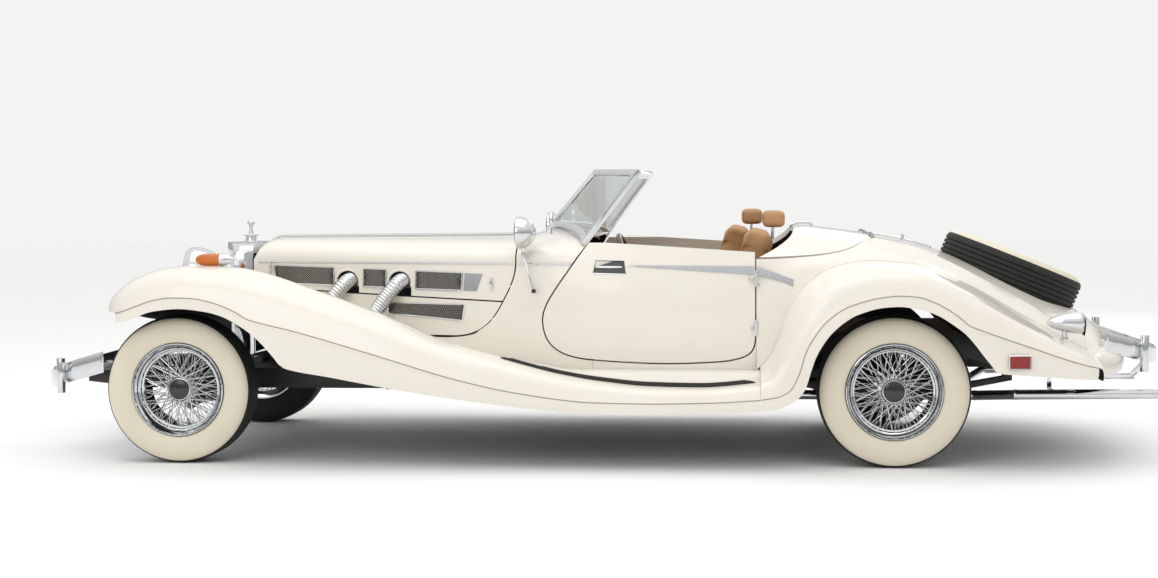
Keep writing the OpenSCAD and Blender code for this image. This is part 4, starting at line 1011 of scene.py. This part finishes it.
# Lid hinge beam and pin, with barrels that take turns along the pin.
box_faces = [(0, 1, 3, 2), (4, 6, 7, 5), (0, 4, 5, 1), (2, 3, 7, 6), (0, 2, 6, 4), (1, 5, 7, 3)]
beam = build("lid_beam", [at(n, h, z) for n in (3107, 3123) for h in (-606, 606)
                          for z in (900, 940)],
             box_faces, [underseal])
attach(beam, "car_body")
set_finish(beam, "ivory_paint")
parts = [tube([at(hinge_n, -460, hinge_z), at(hinge_n, 460, hinge_z)], 0.004, 12)]
parts += [tube([at(hinge_n, h, 938), at(hinge_n, h, hinge_z)], 0.006, 8) for h in (-440, 0, 440)]
verts, faces, _ = joined(parts)
pin = build("lid_pin", verts, faces, [chrome])
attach(pin, "car_body")
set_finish(pin, "chrome_trim")
for body, places, way in (("hood_cover", (-330, 110), -1), ("boot_lid", (-400, 250), 1)):
    parts = []
    for h in places:
        parts += [tube([at(hinge_n, h, hinge_z), at(hinge_n, h + 36, hinge_z)], 0.007, 16),
                  tube([at(hinge_n + way * 6, h + 18, hinge_z - 5),
                        at(hinge_n + way * 20, h + 18, hinge_z - 7)], [0.006, 0.004], 8)]
    verts, faces, _ = joined(parts)
    barrels = build(f"{body}_barrels", verts, faces, [chrome])
    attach(barrels, body)
    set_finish(barrels, "chrome_trim")

# Deck hardware: a bow handle ahead, a raised strip down the lid and a T handle.
wire("cover_handle", [(2757, 0, 1036), (2765, 0, 1048), (2795, 0, 1058), (2845, 0, 1058),
                      (2862, 0, 1046), (2866, 0, 1034)],
     [6, 6, 7, 7, 6, 6], chrome, "hood_cover", "chrome_trim", 12, both=False)
wire("lid_strip", [(n, 0, deck_at(n, 0) + 2) for n in steps(3135, 3425, 20)], [3] + [8] * 19 + [3],
     chrome, "boot_lid",
     "chrome_trim", 12, both=False)
wire("lid_lever_stem", [(3290, 0, deck_at(3290, 0)), (3290, 0, deck_at(3290, 0) + 22)], 6, chrome,
     "boot_lid",
     "chrome_trim", 12, both=False)
wire("lid_lever", [(3290, h, deck_at(3290, 0) + 22) for h in (-40, -30, 30, 40)], [3, 6, 6, 3],
     chrome, "boot_lid",
     "chrome_trim", 12, both=False)

# ---------------------------------------------------------------------------
# Radiator shell in chrome, with upright slats in its V before the dark core, whose near-black is
# partly painted shade.
# Formed brass plate, plated; the slats are rolled strip.

dress(["radiator_shell"], chrome, 4, 40)
slats, dark = [], []
for side in (-1, 1):
    for k in range(26):
        h = side * (4 + 8.4 * k)
        n = 26 + 100 * abs(h) / 248
        slats.append(tube([at(n, h, 458), at(n, h, 923)], 0.0028, 6))
    # The core plate takes the blotchy near-black of the vent backing: black core and painted shade
    # together.
    corners = [at(n, h, z) for n, h in ((40, 0), (128, side * 221), (134, side * 221), (46, 0))
               for z in (457, 924)]
    dark.append((corners, [(0, 2, 3, 1), (2, 4, 5, 3), (4, 6, 7, 5), (6, 0, 1, 7), (0, 6, 4, 2),
                           (1, 3, 5, 7)]))
verts, faces, counts = joined(slats + dark)
picks = [0] * sum(counts[:52]) + [1] * sum(counts[52:])
grille = build("grille_slats", verts, faces, [chrome, shade_and_black], picks)
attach(grille, "car_body")
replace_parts(grille, "radiator_grille")

# ---------------------------------------------------------------------------
# Lamps, spotlights and mirrors: turned and plated bodies with glass or plastic lenses.
# Head lamps stand on posts before the radiator; amber lamps sit on the fenders.

# Lamp glass: clear, pressed with fine upright flutes.
lamp_glass, shader, place = start("lamp_glass", Roughness=0.03, IOR=1.5, Transmission_Weight=1.0)
flutes = add(lamp_glass, "TexWave", {"Vector": place, "Scale": 30.0}, bands_direction="Y")
fluted = add(lamp_glass, "Bump", {"Height": flutes.outputs["Fac"], "Strength": 0.3,
                                  "Distance": 0.001})
plug(lamp_glass, shader, {"Base Color": linear("f4f6f5"), "Normal": fluted.outputs["Normal"]})
# Amber and red lenses: moulded plastic, ribbed at about 5 mm.
lenses = {}
for name, code in (("amber_lens", "e07a10"), ("red_lens", "a3120c")):
    lens, shader, place = start(name, Roughness=0.08, IOR=1.49, Transmission_Weight=0.35,
                                Coat_Weight=0.4, Coat_Roughness=0.03)
    ribs = add(lens, "TexWave", {"Vector": place, "Scale": 32.0}, bands_direction="X")
    ribbed = add(lens, "Bump", {"Height": ribs.outputs["Fac"], "Strength": 0.4, "Distance": 0.001})
    plug(lens, shader, {"Base Color": linear(code), "Normal": ribbed.outputs["Normal"]})
    lenses[name] = lens


def lathe(profile, n, h, z, around=64, way=1):
    """Points and faces of (radius, along) mm turned about a line along the car."""
    verts, faces = turned(profile, around)
    return [Vector((way * v.y, v.x, v.z)) + at(n, h, z) for v in verts], faces


def pieces(name, parts, finishes, body, slot, replaces=None):
    """One object from parts, each with its own finish, on the right, and its mirror image."""
    verts, faces, counts = joined(parts)
    picks = [k for k, count in enumerate(counts) for _ in range(count)]
    right = build(name + "_right", verts, faces, finishes, picks)
    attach(right, body)
    if replaces:
        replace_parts(right, replaces)
    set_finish(right, slot)
    mirrored(right, name + "_left", body)


pieces("head_lamp", [
    lathe([(104, 14), (112, 24), (114, 50), (112, 72), (104, 100), (92, 127), (76, 150), (57, 170),
           (36, 184), (8, 194),
           (8, 190), (34, 180), (72, 146), (98, 98), (104, 40), (100, 18)], -70, 400, 850),
    lathe([(100, 22), (92, 60), (70, 96), (40, 122), (6, 132), (6, 134), (42, 125), (73, 98),
           (95, 61), (103, 22)], -70, 400, 850),
    lathe([(1, 0), (40, 1.5), (75, 6), (100, 15), (104, 18), (103, 21), (75, 10), (40, 5.5),
           (1, 4)], -70, 400, 850),
    tube([at(20, 400, 622.7), at(20, 400, 640), at(20, 400, 752)], [0.026, 0.014, 0.014], 24)],
    [chrome, chrome, lamp_glass, chrome], "car_body", "chrome_trim", "front_lamps")
pieces("amber_lamp", [
    tube([at(n, 712, 917.1) for n in (186, 188, 192, 200, 214, 228, 244, 254)],
         [0.025, 0.0282, 0.0285, 0.0275, 0.025, 0.021, 0.012, 0.003], 32),
    tube([at(n, 712, 917.1) for n in (72.5, 76, 82, 92, 106, 130, 160, 190)],
         [0.004, 0.011, 0.017, 0.0225, 0.026, 0.0275, 0.0275, 0.027], 32)],
    [chrome, lenses["amber_lens"]], "car_body", "chrome_trim")
pieces("spot_lamp", [
    lathe([(66, -30), (72, -27), (73, -14), (70, 2), (62, 20), (50, 36), (36, 48), (14, 57),
           (4, 59), (4, 55), (34, 44), (60, 14), (66, -20)], 1556, 640, 1030),
    lathe([(1, -40), (30, -38.5), (55, -34), (67, -28), (65, -25), (30, -34), (1, -36)], 1556, 640,
          1030),
    lathe([(64, -22), (50, 10), (24, 30), (3, 34), (3, 36), (26, 33), (53, 12), (66, -21)], 1556,
          640, 1030),
    tube([at(1556, 640, 976), at(1556, 640, 960), at(1556, 640, 925), at(1556, 640, 917)],
         [0.014, 0.009, 0.009, 0.011], 20),
    tube([at(1556, side_h(1556, 925) + 2.2, 925), at(1556, 650, 925)], 0.009, 16),
    tube([at(1556, 640, 925), at(1572, 650, 880), at(1604, 662, 775)], 0.005, 10),
    tube([at(1604, 662, z) for z in (759.5, 762, 770, 778, 780.5)],
         [0.003, 0.009, 0.011, 0.009, 0.003], 16)],
    [chrome, lamp_glass, chrome, chrome, chrome, chrome, black_enamel], "car_body", "chrome_trim",
       "spotlights")
# Mirrors: silvered glass in a plated round head.
mirror_silver, shader, place = start("mirror_silver", Metallic=1.0, Roughness=0.02)
haze = add(mirror_silver, "TexNoise", {"Vector": place, "Scale": 12.0})
veil = shades(mirror_silver, haze, "dfe3e4", "eceff0")
plug(mirror_silver, shader, {"Base Color": veil})
pieces("door_mirror", [
    lathe([(2, -5), (20, -4), (33, -1), (38, 5), (38, 14), (35, 14), (35, 12), (2, 12)], 1664, 520,
          1085, 48),
    lathe([(1, 12.5), (34.5, 12.5), (34.5, 13.5), (1, 13.5)], 1664, 520, 1085, 48),
    tube([at(1672, 520, 1014), at(1672, 520, 1020), at(1672, 520, 1052)], [0.012, 0.005, 0.005],
         16)],
    [chrome, mirror_silver, chrome], "car_body", "chrome_trim")
pieces("tail_lamp", [
    lathe([(40, 2), (48, 10), (49, 22), (47, 42), (43, 66), (37, 92), (29, 118), (20, 138),
           (8, 156), (1, 159), (1, 150), (34, 80), (40, 10)], 4010, 665, 628, way=-1),
    lathe([(1, 0), (25, 1), (41, 4), (42, 9), (1, 8)], 4010, 665, 628, way=-1),
    tube([at(3930, 665, 557.5), at(3930, 665, 566), at(3930, 665, 600)], [0.02, 0.012, 0.012], 24)],
    [chrome, lenses["red_lens"], chrome], "car_body", "chrome_trim", "rear_lamps")

pieces("side_marker", [
    tube([at(n, curve(rear_bead_h, n) + 8, z) for n,
          z in ((3660, 448), (3752, 448), (3752, 505), (3660, 505), (3660, 448))], 0.0035, 6),
    ([at(n, curve(rear_bead_h, n) + d, z) for d in (-1, 10) for n,
      z in ((3664, 450), (3748, 450), (3748, 503), (3664, 503))],
     [(3, 2, 1, 0), (4, 5, 6, 7), (0, 1, 5, 4), (1, 2, 6, 5), (2, 3, 7, 6), (3, 0, 4, 7)])],
    [chrome, lenses["red_lens"]], "car_body", "chrome_trim")

# ---------------------------------------------------------------------------
# Bumpers and side pipes in chrome.
# Pressed spring-steel blades with upright guards; flexible pipes out of the engine bay.

dress(["front_bumper", "rear_bumper"], chrome, 3, 32)


def ribbed(path, low, high, pitch):
    """Radii along a flexible pipe whose ribs stand one pitch apart."""
    length, radii, points = 0, [], []
    fine = smooth(path, 60)
    for a, b in zip(fine, fine[1:]):
        swell = (0.5 + 0.5 * math.cos(2 * math.pi * length / pitch)) ** 0.6
        radii.append((low + (high - low) * swell) / 1000)
        points.append(at(*a))
        length += (b - a).length
    return points, radii


for number, n in enumerate(pipe_stations):
    path = [(n + 30, side_h(n, 830) - 90, 800), (n + 8, side_h(n, 830) - 20, 810),
            (n - 18, side_h(n, 800) + 30, 788),
            (n - 60, side_h(n, 730) + 44, 736), (n - 108, side_h(n, 660) + 47, 668)]
    points, radii = ribbed(path, 32, 36, 13)
    verts, faces = tube(points, radii, 32)
    right = build(f"side_pipe_{number + 1}_right", verts, faces, [chrome], crease=60)
    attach(right, "car_body")
    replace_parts(right, "side_pipes")
    mirrored(right, f"side_pipe_{number + 1}_left", "car_body")
    arch = [(n - 6 - pipe_half * math.cos(a), side_h(n, 800) + 2, 800 + pipe_half * math.sin(a))
            for a in steps(-0.35, math.pi + 0.35, 30)]
    wire(f"pipe_arch_{number + 1}", arch, 7, ivory_paint, "bonnet_right", "ivory_paint")

# ---------------------------------------------------------------------------
# Windscreen: two flat laminated panes in a chrome frame that meets in a point.
# Plated brass channel, with a moulding over its foot and a catch on the header.

# Screen glass: clear laminate with the faintest green at its thickness.
clear_glass, shader, place = start("clear_glass", Roughness=0.0, IOR=1.52, Transmission_Weight=1.0)
film = add(clear_glass, "TexNoise", {"Vector": place, "Scale": 5.0})
greenish = shades(clear_glass, film, "eef4f0", "f6faf7")
plug(clear_glass, shader, {"Base Color": greenish})
dress(["windscreen_frame"], chrome, 2, 30)
dress(["windscreen_glass"], clear_glass)
wire("screen_foot", [(n, h, z) for n, h, z in ((1640, 100, 1034), (1700, 260, 1024),
                                               (1760, 430, 1003), (1800, 560, 966))], 5,
     chrome, "car_body", "chrome_trim")
wire("header_catch", [(1842, 40, 1300), (1856, 44, 1288), (1862, 48, 1262)], [5, 7, 4], chrome,
     "car_body", "chrome_trim", 12)

# ---------------------------------------------------------------------------
# Dashboard, steering wheel and carpeted floor.
# Walnut board with three dials; wood-rimmed wheel on plated spokes; wool carpet.

# Cut-pile wool carpet: brown, matt, with tufts of about 4 mm.
carpet, shader, place = start("floor_carpet", Roughness=0.95, IOR=1.4, Sheen_Weight=0.4,
                              Sheen_Roughness=0.5)
tufts = add(carpet, "TexNoise", {"Vector": place, "Scale": 260.0, "Detail": 3.0})
wool = shades(carpet, tufts, "4a3220", "6b4a31")
pile = add(carpet, "Bump", {"Height": tufts.outputs["Fac"], "Strength": 0.8, "Distance": 0.003})
plug(carpet, shader, {"Base Color": wool, "Normal": pile.outputs["Normal"]})
dress(["floor_pan"], carpet, 2, 32)
dress(["dashboard"], walnut, 3, 32)
# Dials: a black face with ivory needle and ticks, behind glass in a chrome bezel.
for number, h in enumerate((-350, 0, 350)):
    verts, faces, counts = joined([
        lathe([(38, 2), (44, 2), (45, 6), (42, 10), (38, 8)], 1864, h, 860, 48),
        lathe([(1, 0), (39, 0), (39, 2), (1, 2)], 1861, h, 860, 48),
        tube([at(1865, h, 860), at(1865, h + 20, 884)], [0.0018, 0.0008], 6),
        lathe([(1, 5), (38, 5), (38, 6.5), (1, 6.5)], 1864, h, 860, 48)] +
        [tube([at(1864.5, h + 33 * math.sin(a), 860 + 33 * math.cos(a)),
               at(1864.5, h + 37 * math.sin(a), 860 + 37 * math.cos(a))], 0.0009, 4)
         for a in steps(-2.3, 2.3, 18)])
    picks = [k if k < 4 else 2 for k, count in enumerate(counts) for _ in range(count)]
    dial = build(f"dial_{number + 1}", verts, faces,
                 [chrome, black_enamel, ivory_paint, lamp_glass], picks)
    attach(dial, "car_body")
    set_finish(dial, "dash_wood")

wheel_place = Matrix.Translation(at(2027, -350, 830)) @ Matrix.Rotation(math.radians(65), 4, "Y")


def about_wheel(x, y, z):
    return wheel_place @ Vector((x / 1000, y / 1000, z / 1000))


ring = [about_wheel(186 * math.cos(a), 186 * math.sin(a), 20) for a in steps(0, 2 * math.pi, 96)]
parts = [tube(ring, 0.0125, 16, False)]
for a in (90, 210, 330):
    c, s = math.cos(math.radians(a)), math.sin(math.radians(a))
    for w in (-8, 0, 8):
        parts.append(tube([about_wheel(c * r - s * w, s * r + c * w, z) for r,
                           z in ((20, -6), (80, 0), (150, 10), (180, 18))], 0.0028, 8))
hub_line = [(2, -28), (30, -28), (34, -20), (34, 8), (30, 15), (20, 18), (2, 18)]
verts, faces = turned(hub_line, 48)
parts.append(([wheel_place @ Matrix.Rotation(math.pi / 2, 4, "X") @ v for v in verts], faces))
parts.append(tube([about_wheel(0, 0, z) for z in (-57.9, -28)], 0.0099, 24))
verts, faces, counts = joined(parts)
picks = [0] * counts[0] + [1] * (len(faces) - counts[0])
steering = build("steering_wheel_rim", verts, faces, [walnut, chrome], picks)
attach(steering, "steering_wheel")
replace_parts(steering, "steering_wheel")

# ---------------------------------------------------------------------------
# Seats: padded leather squabs and cushions with sewn channels, and two-lobed headrests.
# Each pad is blown up from a slightly smaller block, then its channels are sewn in.


channel_depth, channel_width = 0.009, 6


def pad(name, size, place, channels, face, cap, voxel=0.008):
    """Stuffed pad of a size in mm; its swelling is capped and channels are sewn across one face."""
    x, y, z = [s / 2000 - 0.012 for s in size]
    block = bmesh.new()
    bmesh.ops.create_cube(block, size=1)
    bmesh.ops.scale(block, vec=(2 * x, 2 * y, 2 * z), verts=block.verts)
    bmesh.ops.bevel(block, geom=block.edges[:], offset=min(x, y, z) * 0.55, segments=4,
                    affect="EDGES", profile=0.5)
    mesh = bpy.data.meshes.new(name)
    block.to_mesh(mesh)
    block.free()
    piece = bpy.data.objects.new(name, mesh)
    bpy.context.scene.collection.objects.link(piece)
    grains = piece.modifiers.new("remesh", "REMESH")
    grains.mode, grains.voxel_size = "VOXEL", voxel
    graph = bpy.context.evaluated_depsgraph_get()
    piece.data = bpy.data.meshes.new_from_object(piece.evaluated_get(graph))
    piece.modifiers.clear()
    rest = [v.co.copy() for v in piece.data.vertices]
    cloth = piece.modifiers.new("cloth", "CLOTH")
    cloth.settings.use_pressure = True
    cloth.settings.uniform_pressure_force = 4
    cloth.settings.effector_weights.gravity = 0
    cloth.point_cache.frame_start, cloth.point_cache.frame_end = 1, 20
    for frame_number in range(1, 21):
        bpy.context.scene.frame_set(frame_number)
    graph = bpy.context.evaluated_depsgraph_get()
    swollen = bpy.data.meshes.new_from_object(piece.evaluated_get(graph))
    piece.modifiers.clear()
    piece.data = swollen
    for v, before in zip(swollen.vertices, rest):
        move = v.co - before
        if move.length > cap / 1000:
            v.co = before + move.normalized() * cap / 1000
    bpy.context.scene.frame_set(1)
    finer = piece.modifiers.new("finer", "SUBSURF")
    finer.levels = finer.render_levels = 1
    graph = bpy.context.evaluated_depsgraph_get()
    piece.data = bpy.data.meshes.new_from_object(piece.evaluated_get(graph))
    piece.modifiers.clear()
    reach = [max(abs(v.co[k]) for v in piece.data.vertices) * 2000 / size[k] for k in range(3)]
    normals = [v.normal.copy() for v in piece.data.vertices]
    for v, normal in zip(piece.data.vertices, normals):
        v.co = Vector(v.co[k] / max(1.0, reach[k]) for k in range(3))
        facing = clamp(normal.dot(face) * 1.6)
        depth = sum(math.exp(-(((v.co.y * 1000 - c) / channel_width) ** 2)) for c in channels)
        v.co -= normal * channel_depth * min(1, depth) * facing
    piece.data.transform(place)
    piece.data.materials.append(tan_leather)
    piece.data.shade_smooth()
    return piece


def seat(name, n0, h0):
    node = f"seat_{name}"
    spots = (-141, -47, 47, 141)
    base = Matrix.Translation(at(n0 - 292, h0, 532))
    lean = Matrix.Rotation(math.radians(14), 4, "Y")
    back = Matrix.Translation(at(n0 - 10, h0, 425)) @ lean @ Matrix.Translation((-0.067, 0, 0.325))
    pads = [pad(f"{node}_cushion", (352, 468, 112), base, spots, Vector((0, 0, 1)), 24),
            pad(f"{node}_squab", (134, 468, 630), back, spots, Vector((-1, 0, 0)), 24)]
    for side, shift in (("left", -66), ("right", 66)):
        place = Matrix.Translation(at(n0 + 130, h0 + shift, 1082))
        pads.append(pad(f"{node}_headrest_{side}", (124, 134, 96), place, (), Vector((0, 0, 1)), 14,
                        0.006))
    for number, piece in enumerate(pads):
        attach(piece, "car_body")
        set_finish(piece, "tan_leather")
        if number == 0:
            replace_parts(piece, node)
    # Plinth under the cushion and posts for the headrests.
    plinth = [([at(n0 + x, h0 + y, z) for x in (-460, -20) for y in (-225, 225)
                for z in (396, 486)],
               box_faces)]
    posts = [tube([at(n0 + 125, h0 + s, 990), at(n0 + 128, h0 + s, 1052)], 0.006, 12)
             for s in (-60, 60)]
    verts, faces, counts = joined(plinth + posts)
    frame_piece = build(f"{node}_frame", verts, faces, [carpet, chrome],
                        [0] * counts[0] + [1] * (len(faces) - counts[0]))
    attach(frame_piece, "car_body")
    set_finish(frame_piece, "tan_leather")


seat("driver", 2545, -350)
seat("passenger", 2450, 350)

# ---------------------------------------------------------------------------
# Camera, floor and light: pale plain studio, soft light from above and both sides.

camera = bpy.data.objects.new("camera", bpy.data.cameras.new("camera"))
bpy.context.scene.collection.objects.link(camera)
camera.data.lens, camera.data.sensor_width, camera.data.clip_end = 55.03, 36, 200
yaw, pitch, roll = math.radians(-5.38), math.radians(-3.29), math.radians(-0.41)
look = Vector((math.sin(yaw) * math.cos(pitch), math.cos(yaw) * math.cos(pitch), math.sin(pitch)))
camera.matrix_world = (Matrix.Translation((0.747, -8.51, 1.232))
                       @ look.to_track_quat("-Z", "Y").to_matrix().to_4x4()
                       @ Matrix.Rotation(roll, 4, "Z"))
bpy.context.scene.camera = camera

# Studio floor: pale matt paper, plain enough that only the contact shadow shows.
paper, shader, place = start("floor_paper", Roughness=0.9, IOR=1.45)
fibre = add(paper, "TexNoise", {"Vector": place, "Scale": 4.0, "Detail": 3.0})
pale = shades(paper, fibre, "f6f6f5", "fafaf9")
plug(paper, shader, {"Base Color": pale})
floor = build("floor", [(-30, -30, 0), (30, -30, 0), (30, 30, 0), (-30, 30, 0)], [(0, 1, 2, 3)],
              [paper], closed=False)

world = bpy.data.worlds.new("studio")
bpy.context.scene.world = world
world.use_nodes = True
nodes, links = world.node_tree.nodes, world.node_tree.links
sky = nodes["Background"]
place = nodes.new("ShaderNodeTexCoord")
axes = nodes.new("ShaderNodeSeparateXYZ")
ramp = nodes.new("ShaderNodeValToRGB")
ramp.color_ramp.elements[0].position, ramp.color_ramp.elements[1].position = 0.0, 0.55
ramp.color_ramp.elements[0].color = (0.42, 0.42, 0.42, 1)
ramp.color_ramp.elements[1].color = (1, 1, 1, 1)
links.new(place.outputs["Generated"], axes.inputs["Vector"])
links.new(axes.outputs["Z"], ramp.inputs["Fac"])
links.new(ramp.outputs["Color"], sky.inputs["Color"])
sky.inputs["Strength"].default_value = 1.0
white = nodes.new("ShaderNodeBackground")
white.inputs["Color"].default_value = linear("f3f3f2")
path = nodes.new("ShaderNodeLightPath")
choose = nodes.new("ShaderNodeMixShader")
links.new(path.outputs["Is Camera Ray"], choose.inputs["Fac"])
links.new(sky.outputs["Background"], choose.inputs[1])
links.new(white.outputs["Background"], choose.inputs[2])
links.new(choose.outputs["Shader"], nodes["World Output"].inputs["Surface"])

for name, place, size, power in (("top_light", (0, -1, 6), 7, 130),
                                 ("near_light", (-3, -8, 4), 4, 60),
                                 ("far_light", (3, 8, 4), 4, 40)):
    light = bpy.data.objects.new(name, bpy.data.lights.new(name, "AREA"))
    bpy.context.scene.collection.objects.link(light)
    light.data.energy, light.data.size = power, size
    aim = (Vector((0, 0, 0.5)) - Vector(place)).to_track_quat("-Z", "Y")
    light.matrix_world = Matrix.Translation(place) @ aim.to_matrix().to_4x4()
bpy.context.scene.view_settings.view_transform = "Standard"
